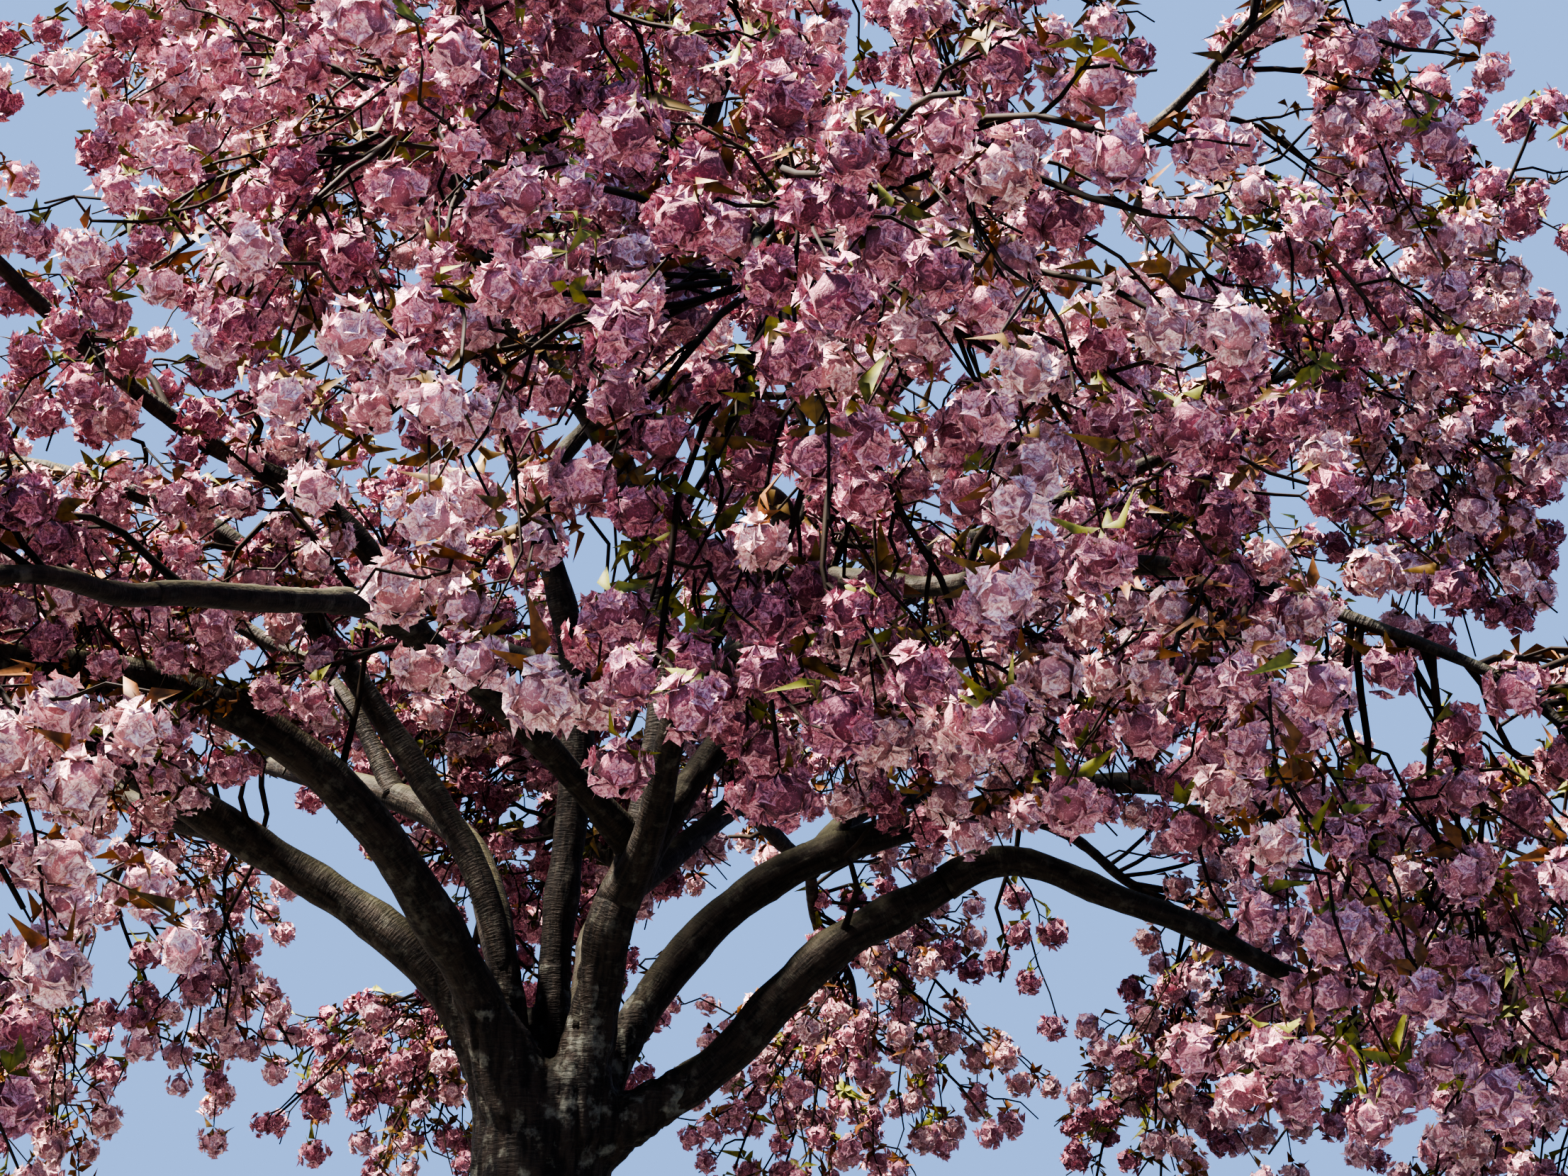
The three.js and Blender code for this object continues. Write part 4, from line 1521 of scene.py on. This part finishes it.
class TemplateMesh:
    """The corners, faces and tones of one template while it grows."""

    def __init__(self) -> None:
        """Starts an empty mesh."""
        self.corners: list[np.ndarray] = []
        self.faces: list[tuple[int, int, int]] = []
        self.tones: list[float] = []

    def add_faces(self, faces: list[tuple[int, int, int]], tone: int) -> None:
        """Adds faces of one tone."""
        self.faces += faces
        self.tones += [tone] * len(faces)

    def piece(self, name: str) -> Object:
        """Makes the mesh object, with each face's tone as a field.

        Args:
            name: the object's name.

        Returns:
            The object.
        """
        made = mesh_object(name, np.array(self.corners), self.faces)
        add_field(made.data, "tone", "FLOAT", "FACE", np.array(self.tones, float))
        return made


def template_collection(name: str, pieces: list[Object]) -> Collection:
    """Moves templates to a collection of their own.

    Args:
        name: the collection's name.
        pieces: the templates, sorted by name.

    Returns:
        The collection.
    """
    templates = bpy.data.collections.new(name)
    for piece in pieces:
        bpy.context.scene.collection.objects.unlink(piece)
        templates.objects.link(piece)
    bpy.context.scene.collection.children.link(templates)
    return templates


@dataclass(frozen=True)
class PetalRing:
    """One ring of petals in a flower: how many, how long, how high, how deep the notch, and the tone."""

    petals: int
    radius: float
    rise: float
    notch: float
    tone: int
    faces: int


@dataclass
class PompomTemplates:
    """A few pompoms of double flowers, each flower rings of notched petals round one point.

    A pair of numbers is a least value and a spread. A single spread lies evenly about nothing.
    """

    counts: tuple[int, ...] = (9, 9, 10, 10, 11)
    middling_count: int = 10
    first_seed: int = 40
    core: float = 0.040
    core_share: float = 1.02
    hang: float = 0.050
    cover: float = 1.78
    turn_spread: float = 0.5
    root_share: tuple[float, float] = (0.86, 0.28)
    scale: tuple[float, float] = (0.88, 0.28)
    petal_turn_spread: float = 0.3
    petal_length: tuple[float, float] = (0.8, 0.34)
    petal_rise: tuple[float, float] = (0.35, 1.2)
    petal_tilt_spread: float = 1.1
    petal_middle_rise: float = 1.3
    rings: tuple[PetalRing, ...] = (
        PetalRing(5, 0.027, 0.0075, 0.75, 0, 2),
        PetalRing(4, 0.018, 0.0145, 1.0, 1, 1),
    )

    def build(self) -> Collection:
        """Makes the templates.

        Returns:
            Their collection.
        """
        pieces = []
        for index, count in enumerate(self.counts):
            numbers = Seeded(self.first_seed + index)
            mesh = TemplateMesh()
            core = self.core * (count / self.middling_count) ** 0.5
            for j in range(count):
                way = self.flower_way(j, count, numbers)
                self.add_flower(mesh, way, core, numbers)
            self.add_core(mesh, core * self.core_share)
            pieces.append(mesh.piece(f"pompom_{index}"))
        return template_collection("pompom_templates", pieces)

    def flower_way(self, j: int, count: int, numbers: Seeded) -> np.ndarray:
        """The way that a flower faces: spread over a ball, but for the cap where the spur comes in.

        Args:
            j: the flower's place in its row.
            count: how many flowers the pompom has.
            numbers: gives the draw.

        Returns:
            The unit vector out of the pompom.
        """
        level = -1 + self.cover * (j + 0.5) / count
        out = math.sqrt(max(1 - level * level, 0))
        angle = math.radians(GOLDEN_ANGLE * j) + numbers.aside(self.turn_spread)
        return np.array([out * math.cos(angle), out * math.sin(angle), level])

    def add_core(self, mesh: TemplateMesh, size: float) -> None:
        """Adds the inside of the pompom, a ball of twenty faces whose darker tint is painted shade.

        Args:
            mesh: the template's mesh.
            size: the ball's radius.
        """
        top = len(mesh.corners)
        bottom = top + 1
        middle = np.array([0, 0, -self.hang])
        mesh.corners += [middle + UP * size, middle - UP * size]
        step = 360 / BALL_CORNERS
        for turn, level in ((0, BALL_LEVEL), (step / 2, -BALL_LEVEL)):
            ring = [polar(turn + step * j, BALL_OUT * size, level * size) for j in range(BALL_CORNERS)]
            mesh.corners += [middle + corner for corner in ring]
        for j in range(BALL_CORNERS):
            upper, next_upper = top + 2 + j, top + 2 + (j + 1) % BALL_CORNERS
            lower, next_lower = upper + BALL_CORNERS, next_upper + BALL_CORNERS
            mesh.add_faces([(top, upper, next_upper), (upper, lower, next_upper)], CORE_TONE)
            mesh.add_faces([(next_upper, lower, next_lower), (bottom, next_lower, lower)], CORE_TONE)

    def add_flower(self, mesh: TemplateMesh, way: np.ndarray, core: float, numbers: Seeded) -> None:
        """Adds one flower.

        Args:
            mesh: the template's mesh.
            way: the way that the flower faces.
            core: the radius of the ball that the flowers stand on.
            numbers: gives the draws.
        """
        side = unit(np.cross(way, SLANTED))
        up = np.cross(way, side)
        scale = numbers.above(*self.scale)
        root = np.array([0, 0, -self.hang]) + way * core * numbers.above(*self.root_share)
        base = len(mesh.corners)
        mesh.corners.append(root)
        for ring in self.rings:
            start = numbers.draw() * math.tau
            half = math.pi / ring.petals
            for p in range(ring.petals):
                middle = start + math.tau * p / ring.petals + numbers.aside(self.petal_turn_spread)
                length = ring.radius * scale * numbers.above(*self.petal_length)
                rise = ring.rise * scale * numbers.above(*self.petal_rise)
                tilt = numbers.aside(self.petal_tilt_spread)
                spots = [(-half, 1, 1 - tilt), (0, ring.notch, self.petal_middle_rise), (half, 1, 1 + tilt)]
                if ring.faces == 1:
                    del spots[1]
                first = len(mesh.corners)
                for turn, share, lift in spots:
                    out = math.cos(middle + turn) * side + math.sin(middle + turn) * up
                    mesh.corners.append(root + out * length * share + way * rise * lift)
                mesh.add_faces([(base, first + i, first + i + 1) for i in range(ring.faces)], ring.tone)


@dataclass
class LeafTemplates:
    """A few whorls of young leaves, each leaf folded along its rib with a drawn-out tip.

    A pair of numbers is a least value and a spread. A single spread lies evenly about nothing.
    """

    counts: tuple[int, ...] = (3, 4, 3, 5)
    first_seed: int = 70
    turn_spread: float = 70
    length: float = 0.092
    length_share: tuple[float, float] = (0.62, 0.6)
    width: float = 0.026
    width_share: tuple[float, float] = (0.8, 0.4)
    climb: tuple[float, float] = (15, 50)
    sink: tuple[float, float] = (0.5, 0.6)
    tilt_spread: float = 18
    fold_share: float = 0.3
    widest: float = 0.42

    def build(self) -> Collection:
        """Makes the templates.

        Returns:
            Their collection.
        """
        pieces = []
        for index, count in enumerate(self.counts):
            numbers = Seeded(self.first_seed + index)
            mesh = TemplateMesh()
            for j in range(count):
                self.add_leaf(mesh, numbers.above(360 * j / count, self.turn_spread), numbers)
            pieces.append(mesh.piece(f"whorl_{index}"))
        return template_collection("leaf_templates", pieces)

    def add_leaf(self, mesh: TemplateMesh, azimuth: float, numbers: Seeded) -> None:
        """Adds one leaf of four faces, folded along its rib, that first climbs and then droops.

        Args:
            mesh: the template's mesh.
            azimuth: the way that the leaf points.
            numbers: gives the draws.
        """
        length = self.length * numbers.above(*self.length_share)
        width = self.width * numbers.above(*self.width_share)
        climb = numbers.above(*self.climb)
        sink = numbers.above(*self.sink)
        out = heading(azimuth, climb)
        across = heading(azimuth + 90, numbers.aside(self.tilt_spread)) * width / 2
        fold = UP * width * self.fold_share
        widest = out * length * self.widest - UP * length * sink * self.widest**2
        base = len(mesh.corners)
        mesh.corners += [np.zeros(3), widest - across + fold, widest, widest + across + fold]
        mesh.corners.append(out * length - UP * length * sink)
        root, left, rib, right, tip = range(base, base + 5)
        mesh.add_faces([(root, left, rib), (root, rib, right), (left, tip, rib), (rib, tip, right)], 0)


def turned_to(way: np.ndarray) -> tuple[float, float, float]:
    """The Euler angles that turn +Z to a way."""
    return tuple(Vector(way).to_track_quat("Z", "Y").to_euler())


# The materials of the outer and inner petals and of the shaded inside, or three times a leaf's.
Tones = tuple[Material, Material, Material]


@dataclass
class Clusters:
    """All the pompoms or whorls of one tint, joined in one piece."""

    name: str
    clusters: list[Cluster]
    templates: Collection
    tones: Tones
    upside_down: bool

    def build(self, group: NodeTree, seed: int) -> Object:
        """Sets a template on every place and joins them in a plain mesh.

        Args:
            group: the geometry node group that sets the templates.
            seed: chooses how each is spun.

        Returns:
            The piece.
        """
        sign = -1 if self.upside_down else 1
        shapes = len(self.templates.objects)
        points = mesh_object(self.name + "_places", np.array([c.place for c in self.clusters]) * METRES, [])
        turns = [turned_to(sign * c.way) for c in self.clusters]
        add_field(points.data, "turn", "FLOAT_VECTOR", "POINT", turns)
        add_field(points.data, "size", "FLOAT", "POINT", [c.size for c in self.clusters])
        add_field(points.data, "shape", "INT", "POINT", [c.shape % shapes for c in self.clusters])
        outer, inner, core = self.tones
        values = {"Templates": self.templates, "Seed": seed, "Outer": outer, "Inner": inner, "Core": core}
        return run_nodes(points, group, values, self.name)


@dataclass
class TwigSet:
    """Twigs of about one thickness, joined in one piece of closed tubes."""

    name: str
    twigs: list[Twig]
    sides: int
    bark: Material

    def build(self, group: NodeTree) -> Object:
        """Draws every twig as a line with a thickness and turns the lines into tubes.

        Args:
            group: the geometry node group that makes the tubes.

        Returns:
            The piece.
        """
        corners = []
        edges = []
        thickness = []
        for twig in self.twigs:
            first = len(corners)
            points = twig.path.points
            corners.extend(points * METRES)
            edges.extend((first + i, first + i + 1) for i in range(len(points) - 1))
            share = twig.path.distances / twig.path.length
            thickness.extend((twig.radius + (twig.tip_radius - twig.radius) * share) * METRES)
        mesh = bpy.data.meshes.new(self.name + "_lines")
        mesh.from_pydata(np.array(corners).tolist(), edges, [])
        add_field(mesh, "thickness", "FLOAT", "POINT", thickness)
        lines = linked(self.name + "_lines", mesh)
        return run_nodes(lines, group, {"Sides": self.sides, "Bark": self.bark}, self.name)


def ring_faces(rings: int, sides: int, clockwise: bool) -> list[tuple[int, ...]]:
    """The faces of a closed tube of rings, with its two caps.

    Args:
        rings: the number of steps between rings.
        sides: the number of corners in a ring.
        clockwise: whether the corners of a ring run clockwise, seen from the tube's end.

    Returns:
        The corners of each face.
    """
    faces = []
    for r in range(rings):
        for j in range(sides):
            a = r * sides + j
            b = r * sides + (j + 1) % sides
            faces.append((a, a + sides, b + sides, b) if clockwise else (a, b, b + sides, a + sides))
    first = tuple(range(sides))
    last = tuple(range(rings * sides, rings * sides + sides))
    return faces + ([first, last[::-1]] if clockwise else [first[::-1], last])


def tube_shell(
    limb: Limb, start: float, end: float, ring_step: float, sides: int, radius_at: Callable
) -> tuple[np.ndarray, list, np.ndarray]:
    """A closed tube round a stretch of a limb, with a place on an unrolled trunk for each corner.

    Args:
        limb: the limb that it follows.
        start: the distance of its first ring from the limb's foot.
        end: the distance of its last ring.
        ring_step: the distance between rings.
        sides: the number of corners in a ring.
        radius_at: the radius at a distance and for each angle and grain place.

    Returns:
        The corners in millimetres, the faces, and each corner's grain place in millimetres.
    """
    rings = max(3, round((end - start) / ring_step))
    angles = np.arange(sides) * math.tau / sides
    corners = []
    grains = []
    scale = limb.fine.length / limb.path.length
    for distance in np.linspace(start, end, rings + 1):
        place = limb.fine.point(distance * scale)
        across, upward = limb.fine.frame(distance * scale)
        plain = float(limb.radius_at(distance))
        grain = np.column_stack([np.cos(angles) * plain, np.sin(angles) * plain, np.full(sides, distance)])
        radii = radius_at(distance, plain, grain)
        ring = place + np.cos(angles)[:, None] * across * radii[:, None]
        ring = ring + np.sin(angles)[:, None] * upward * radii[:, None]
        corners.append(ring)
        grains.append(grain)
    return np.concatenate(corners), ring_faces(rings, sides, True), np.concatenate(grains)


@dataclass
class Boughs:
    """The limbs and the stems of the masses: tapering tubes with lumps and bands of lenticels."""

    skeleton: Skeleton
    ring_step: float = 27
    stout_radius: float = 45
    slim_radius: float = 32
    sides: tuple[int, int, int] = (22, 16, 12)
    lump_mm: float = 120
    lump_share: float = 0.15
    band_grain: tuple[float, float, float] = (70, 70, 30)
    band_relief: float = 3
    sunk_share: float = 0.86
    knuckle_reach: float = 640
    knuckle_overlap: float = 330
    seed_step: int = 7

    def relief(self, seed: int, sunk_until: float) -> Callable:
        """The radius with its relief, drawn in a little where the limb comes out of the trunk's skin.

        Args:
            seed: chooses the pattern of lumps and bands.
            sunk_until: the distance at which it comes out, or 0 where it isn't on the trunk.

        Returns:
            The function that gives the radii of a ring.
        """

        def radius_at(distance: float, plain: float, grain: np.ndarray) -> np.ndarray:
            """The radius of each corner of a ring.

            Args:
                distance: the ring's distance from the foot.
                plain: its radius without relief.
                grain: each corner's place on the unrolled limb.

            Returns:
                The radii.
            """
            lumps = lattice_noise(grain / self.lump_mm, seed) * self.lump_share * plain
            noise = lattice_noise(grain / np.array(self.band_grain), seed + 1)
            bands = np.maximum(noise, 0) * self.band_relief
            sunk = 1.0
            if sunk_until:
                share = np.clip((distance - sunk_until) / self.knuckle_overlap, 0, 1)
                sunk = self.sunk_share + (1 - self.sunk_share) * share
            return (plain + lumps + bands) * sunk

        return radius_at

    def build_limb(self, limb: Limb, order: int, suffix: str) -> Object:
        """Makes the skin of one limb.

        Args:
            limb: the limb or stem.
            order: its place in its row, which chooses its relief.
            suffix: what its name ends with.

        Returns:
            The piece.
        """
        start = self.knuckle_reach - self.knuckle_overlap if limb.parent == "trunk" else 0
        thinner = (limb.radius <= self.stout_radius) + (limb.radius <= self.slim_radius)
        relief = self.relief(order * self.seed_step, start)
        shell = tube_shell(limb, start, limb.path.length, self.ring_step, self.sides[thinner], relief)
        corners, faces, grains = shell
        piece = mesh_object(limb.name + suffix, corners * METRES, faces)
        add_field(piece.data, "grain", "FLOAT_VECTOR", "POINT", grains * METRES)
        return piece


@dataclass(frozen=True)
class Relief:
    """One layer of relief: its grain, how far it stands out, its seed, and how wide its lines are."""

    grain: tuple[float, float, float]
    height: float
    seed: int
    line: float = 0

    def at(self, places: np.ndarray) -> np.ndarray:
        """How far the skin stands out.

        Args:
            places: an array of places in millimetres.

        Returns:
            The height at each place, below 0 where it is pressed in.
        """
        noise = lattice_noise(places / np.array(self.grain), self.seed)
        if self.line:
            noise = np.clip(1 - np.abs(noise) / self.line, 0, 1)
        return noise * self.height


@dataclass
class Trunk:
    """The trunk and its knuckle: a turned profile with root lobes, flutes, cracks and the boughs' feet."""

    skeleton: Skeleton
    profile: tuple[tuple[float, float], ...] = (
        *((0, 330), (60, 296), (160, 262), (320, 238), (600, 222), (1000, 211), (1400, 206)),
        *((1650, 212), (1780, 216), (1850, 192), (1900, 150), (1940, 90), (1960, 30)),
    )
    sides: int = 72
    ring_step: float = 24
    lobes: int = 5
    lobe_share: float = 0.17
    lobe_height: float = 260
    lobe_turn: float = 0.6
    flutes: int = 3
    flute_share: float = 0.035
    flute_rise: float = 420
    collar_reach: float = 640
    collar_fade: float = 330
    collar_sunk: float = 0.18
    collar_step: float = 20
    collar_sides: int = 28
    foot_flare: float = 0.3
    flare_reach: float = 240
    ridge_drop: float = 760
    ridge_out: float = 55
    ridge_points: int = 13
    ridge_shares: tuple[float, float] = (1.3, 0.6)
    ridge_step: float = 24
    ridge_sides: int = 24
    voxel: float = 0.0115
    soft_factor: float = 0.5
    soft_rounds: int = 28
    reliefs: tuple[Relief, ...] = (
        Relief((150, 150, 150), 9, 3),
        Relief((58, 58, 260), -10, 5, 0.3),
        Relief((34, 34, 120), -5.5, 7, 0.35),
        Relief((110, 110, 26), 2, 11),
    )
    smooth_below: float = 0.004
    fade_height: float = 0.03
    cut_height: float = 0.008

    def body(self) -> tuple[np.ndarray, list]:
        """The turned body of the trunk.

        Returns:
            Its corners in millimetres and its faces.
        """
        levels, widths = np.array(self.profile).T
        heights = np.append(np.arange(0, levels[-1], self.ring_step), levels[-1])
        radii = np.interp(heights, levels, widths)
        angles = np.arange(self.sides) * math.tau / self.sides
        corners = []
        for height, radius in zip(heights, radii):
            lobe = self.lobe_share * math.exp(-height / self.lobe_height)
            lobes = lobe * np.cos(self.lobes * angles + self.lobe_turn)
            flute = self.flute_share * np.cos(self.flutes * angles + height / self.flute_rise)
            out = radius * (1 + lobes + flute)
            x = np.cos(angles) * out + TRUNK_LEAN * height / TRUNK_TOP
            corners.append(np.column_stack([x, np.sin(angles) * out, np.full(self.sides, height)]))
        return np.concatenate(corners), ring_faces(len(heights) - 1, self.sides, False)

    def build(self) -> Object:
        """Joins the trunk and the feet of its boughs in one skin, and presses the bark's relief into it.

        Returns:
            The piece.
        """
        parts = [self.body()]
        for limb in self.skeleton.limbs.values():
            if limb.parent == "trunk":
                parts += [self.foot(limb), self.ridge(limb)]
        all_corners = np.concatenate([corners for corners, _ in parts])
        all_faces = []
        count = 0
        for corners, faces in parts:
            all_faces += [tuple(count + c for c in face) for face in faces]
            count += len(corners)
        rough = mesh_object("trunk_rough", all_corners * METRES, all_faces)
        remesh = rough.modifiers.new("skin", "REMESH")
        remesh.mode = "VOXEL"
        remesh.voxel_size = self.voxel
        remesh.use_smooth_shade = True
        soften = rough.modifiers.new("soften", "SMOOTH")
        soften.factor = self.soft_factor
        soften.iterations = self.soft_rounds
        piece = plain_copy(rough, "trunk_bark_skin")
        self.press_relief(piece.data)
        return piece

    def foot(self, limb: Limb) -> tuple[np.ndarray, list]:
        """The foot of one bough, drawn in towards its end so that the bough's own skin covers it.

        Args:
            limb: the bough.

        Returns:
            Its corners in millimetres and its faces.
        """

        def radius_at(distance: float, plain: float, grain: np.ndarray) -> np.ndarray:
            """The radius of each corner of a ring.

            Args:
                distance: the ring's distance from the foot.
                plain: the limb's radius there.
                grain: each corner's place on the unrolled limb.

            Returns:
                The radii, all alike.
            """
            share = np.clip((distance - self.collar_reach) / self.collar_fade + 1, 0, 1)
            flare = 1 + self.foot_flare * math.exp(-((distance / self.flare_reach) ** 2))
            return np.full(len(grain), plain * flare * (1 - self.collar_sunk * share))

        return tube_shell(limb, 0, self.collar_reach, self.collar_step, self.collar_sides, radius_at)[:2]

    def ridge(self, limb: Limb) -> tuple[np.ndarray, list]:
        """A ridge that carries the foot of a bough down into the side of the trunk.

        Args:
            limb: the bough.

        Returns:
            Its corners in millimetres and its faces.
        """
        top = limb.path.points[0]
        bottom = top + unit(limb.path.start_way * (1, 1, 0)) * self.ridge_out - UP * self.ridge_drop
        path = Path(np.linspace(top, bottom, self.ridge_points), -UP, -UP)
        radius, low_radius = [limb.radius * share for share in self.ridge_shares]
        line = Limb("ridge", "trunk", path, path, radius, low_radius, 0.0)

        def radius_at(_: float, plain: float, grain: np.ndarray) -> np.ndarray:
            """The plain radius for each corner of a ring."""
            return np.full(len(grain), plain)

        return tube_shell(line, 0, path.length, self.ridge_step, self.ridge_sides, radius_at)[:2]

    def press_relief(self, mesh: Mesh) -> None:
        """Moves the skin along its normals by lumps, upright cracks and level bands.

        Args:
            mesh: the skin's mesh.
        """
        read = {}
        for key in ("co", "normal"):
            values = np.empty(len(mesh.vertices) * 3)
            mesh.vertices.foreach_get(key, values)
            read[key] = values.reshape(-1, 3)
        places = read["co"]
        relief = sum(layer.at(places / METRES) for layer in self.reliefs) * METRES
        fade = np.clip((places[:, 2] - self.smooth_below) / self.fade_height, 0, 1)
        places = places + read["normal"] * (relief * fade)[:, None]
        places[:, 2] = np.where(places[:, 2] < self.cut_height, 0, places[:, 2])
        mesh.vertices.foreach_set("co", places.ravel())
        mesh.update()


@dataclass(frozen=True)
class SoftLight:
    """A round soft light: its name, its place, its width in metres and its power."""

    name: str
    place: tuple[float, float, float]
    size: float
    power: float


@dataclass
class Studio:
    """A plain floor, soft lights and the camera where the photograph was taken from."""

    camera_place: tuple[float, float, float] = (0.75, -7.2, 1.55)
    pitch: float = 15
    lens: float = 53.7
    sensor_width: float = 36
    clip_end: float = 300
    floor_size: float = 34
    floor_colour: str = "827f78"
    floor_roughness: float = 0.9
    backdrop: str = "9cc2ff"
    backdrop_strength: float = 0.84
    sunlight: str = "fff4e8"
    crown_middle: tuple[float, float, float] = (0, 0, 3.2)
    lights: tuple[SoftLight, ...] = (
        SoftLight("key_light", (-8.5, -3, 19), 1.8, 25000),
        SoftLight("fill_light", (8, -12, 5), 7, 40),
        SoftLight("back_light", (3, 12, 13), 7, 300),
    )

    def build(self) -> None:
        """Makes the floor, the backdrop's colour, the lights and the camera."""
        half = self.floor_size / 2
        corners = np.array([(-half, -half, 0), (half, -half, 0), (half, half, 0), (-half, half, 0)])
        floor = mesh_object("studio_floor", corners, [(0, 1, 2, 3)], smooth=False)
        material, _, shader = new_material("pale_floor")
        set_values(shader, {"Base Color": linear(self.floor_colour), "Roughness": self.floor_roughness})
        floor.data.materials.append(material)
        world = bpy.data.worlds.new("pale_backdrop")
        world.use_nodes = True
        background = world.node_tree.nodes["Background"]
        set_values(background, {"Color": linear(self.backdrop), "Strength": self.backdrop_strength})
        bpy.context.scene.world = world
        bpy.context.scene.view_settings.look = "AgX - Very High Contrast"
        for light in self.lights:
            self.add_light(light)
        camera = bpy.data.cameras.new("camera")
        camera.lens = self.lens
        camera.sensor_width = self.sensor_width
        camera.clip_end = self.clip_end
        holder = linked("camera", camera)
        holder.location = self.camera_place
        holder.rotation_euler = (math.radians(90 + self.pitch), 0, 0)
        bpy.context.scene.camera = holder

    def add_light(self, wanted: SoftLight) -> None:
        """Adds a soft light that looks at the middle of the crown.

        Args:
            wanted: its name, place, size and power.
        """
        light = bpy.data.lights.new(wanted.name, "AREA")
        light.shape = "DISK"
        light.size = wanted.size
        light.energy = wanted.power
        light.color = linear(self.sunlight)[:3]
        holder = linked(wanted.name, light)
        holder.location = wanted.place
        aim = Vector(self.crown_middle) - Vector(wanted.place)
        holder.rotation_euler = aim.to_track_quat("-Z", "Y").to_euler()


def register(piece: Object, nodes: Iterable[str]) -> None:
    """Ties a piece to the body and to the solids that it stands for, and logs it.

    Args:
        piece: the piece.
        nodes: their names.
    """
    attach(piece, "root")
    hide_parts(*nodes)
    piece.data.calc_loop_triangles()
    log.info("%s: %d triangles", piece.name, len(piece.data.loop_triangles))


def make_bark(skeleton: Skeleton) -> None:
    """Makes the skins of the trunk, of the limbs and of the masses' stems.

    Args:
        skeleton: where they lie.
    """
    trunk_bark = BarkFinish(
        "cherry_trunk_bark",
        main="332a21",
        dark="0f0c09",
        lichen="74776b",
        moss="3f4127",
        crack_mm=(26, 180),
        band_share=0.1,
        lichen_share=0.8,
        bump_mm=11,
    ).material()
    bough_bark = BarkFinish(
        "cherry_bough_bark",
        main="30271d",
        dark="100d09",
        lichen="5b5b4f",
        moss="434220",
        field_name="grain",
        crack_mm=(16, 70),
        band_mm=(38, 7),
        band_share=0.28,
        lichen_mm=55,
        lichen_share=0.6,
        moss_share=1.3,
        bump_mm=9,
    ).material()
    trunk = Trunk(skeleton).build()
    trunk.data.materials.append(trunk_bark)
    register(trunk, ["trunk"])
    boughs = Boughs(skeleton)
    stems = [mass.stem for mass in skeleton.masses]
    for limbs, first, suffix in ((skeleton.limbs.values(), 0, "_bark"), (stems, FIRST_STEM, "_stem")):
        for order, limb in enumerate(limbs, first):
            piece = boughs.build_limb(limb, order, suffix)
            piece.data.materials.append(bough_bark)
            register(piece, [limb.name])


def grow_twigs(skeleton: Skeleton) -> Bloom:
    """Grows all twigs, and makes a stout and a thin piece of them.

    Args:
        skeleton: the limbs and stems that bear them.

    Returns:
        The bloom, with the places of the pompoms and whorls.
    """
    growths = [Growth(skeleton, mass) for mass in skeleton.masses]
    for growth in growths:
        growth.grow()
    LimbShoots(skeleton, growths).grow()
    bloom = Bloom(skeleton, [spur for growth in growths for spur in growth.spurs])
    bloom.open()
    twigs = [twig for growth in growths for twig in growth.twigs] + bloom.twigs
    log.info("%d twigs, %d spurs", len(twigs), len(bloom.spurs))
    log.info("%d pompoms, %d whorls", len(bloom.pompoms), len(bloom.whorls))
    bark = LeafFinish("cherry_twig_bark", "30271e", "1b1512", mottle_mm=90, roughness=0.8).material()
    tubes = twig_nodes()
    stout = TwigSet("stout_twigs", [t for t in twigs if t.radius > STOUT_TWIG], 5, bark)
    thin = TwigSet("thin_twigs", [t for t in twigs if t.radius <= STOUT_TWIG], 3, bark)
    for twig_set in (stout, thin):
        register(twig_set.build(tubes), [mass.name for mass in skeleton.masses])
    return bloom


def petal_tones(tint: BlossomTint) -> Tones:
    """Makes the materials of one tint of blossom.

    Args:
        tint: the tint.

    Returns:
        The materials of the outer petals, the inner petals and the shaded inside.
    """
    name = tint.name.lower()
    pale, rosy, deep = tint.value
    outer = PetalFinish("petals_" + name, pale, rosy, deep)
    inner = PetalFinish("inner_petals_" + name, pale, rosy, deep, shade_level=0.54)
    # The ball inside takes only the rosy and the darkest stops: its darker tint is painted shade.
    core = PetalFinish("petal_shade_" + name, rosy, deep, deep, shade_level=0.52)
    return outer.material(), inner.material(), core.material()


def leaf_tones(tint: LeafTint) -> Tones:
    """Makes the material of one tint of leaves.

    Args:
        tint: the tint.

    Returns:
        The same material for each of the three tones.
    """
    finish = LeafFinish("young_leaf_" + tint.name.lower(), *tint.value).material()
    return finish, finish, finish


def set_out_clusters(bloom: Bloom, masses: list[str]) -> None:
    """Makes the pieces of blossom and of leaves, one for each tint.

    Args:
        bloom: where the pompoms and whorls are.
        masses: the names of the solids that they stand for.
    """
    group = cluster_nodes("set_clusters")
    kinds = (
        ("blossom_", BlossomTint, petal_tones, bloom.pompoms, PompomTemplates().build(), True, 0),
        ("leaves_", LeafTint, leaf_tones, bloom.whorls, LeafTemplates().build(), False, LEAF_SEED),
    )
    for prefix, tints, tones, clusters, templates, upside_down, seed in kinds:
        for index, tint in enumerate(tints):
            chosen = [c for c in clusters if int(c.tint * len(tints)) == index]
            piece = Clusters(prefix + tint.name.lower(), chosen, templates, tones(tint), upside_down)
            register(piece.build(group, seed + index), masses)
        for template in list(templates.objects):
            bpy.data.objects.remove(template)
        bpy.data.collections.remove(templates)


def main() -> None:
    """Builds the tree piece by piece, and then the studio round it."""
    logging.basicConfig(level=logging.INFO, format="%(message)s")
    skeleton = Skeleton()
    make_bark(skeleton)
    bloom = grow_twigs(skeleton)
    set_out_clusters(bloom, [mass.name for mass in skeleton.masses])
    Studio().build()
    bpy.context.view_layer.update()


if __name__ == "__main__":
    main()
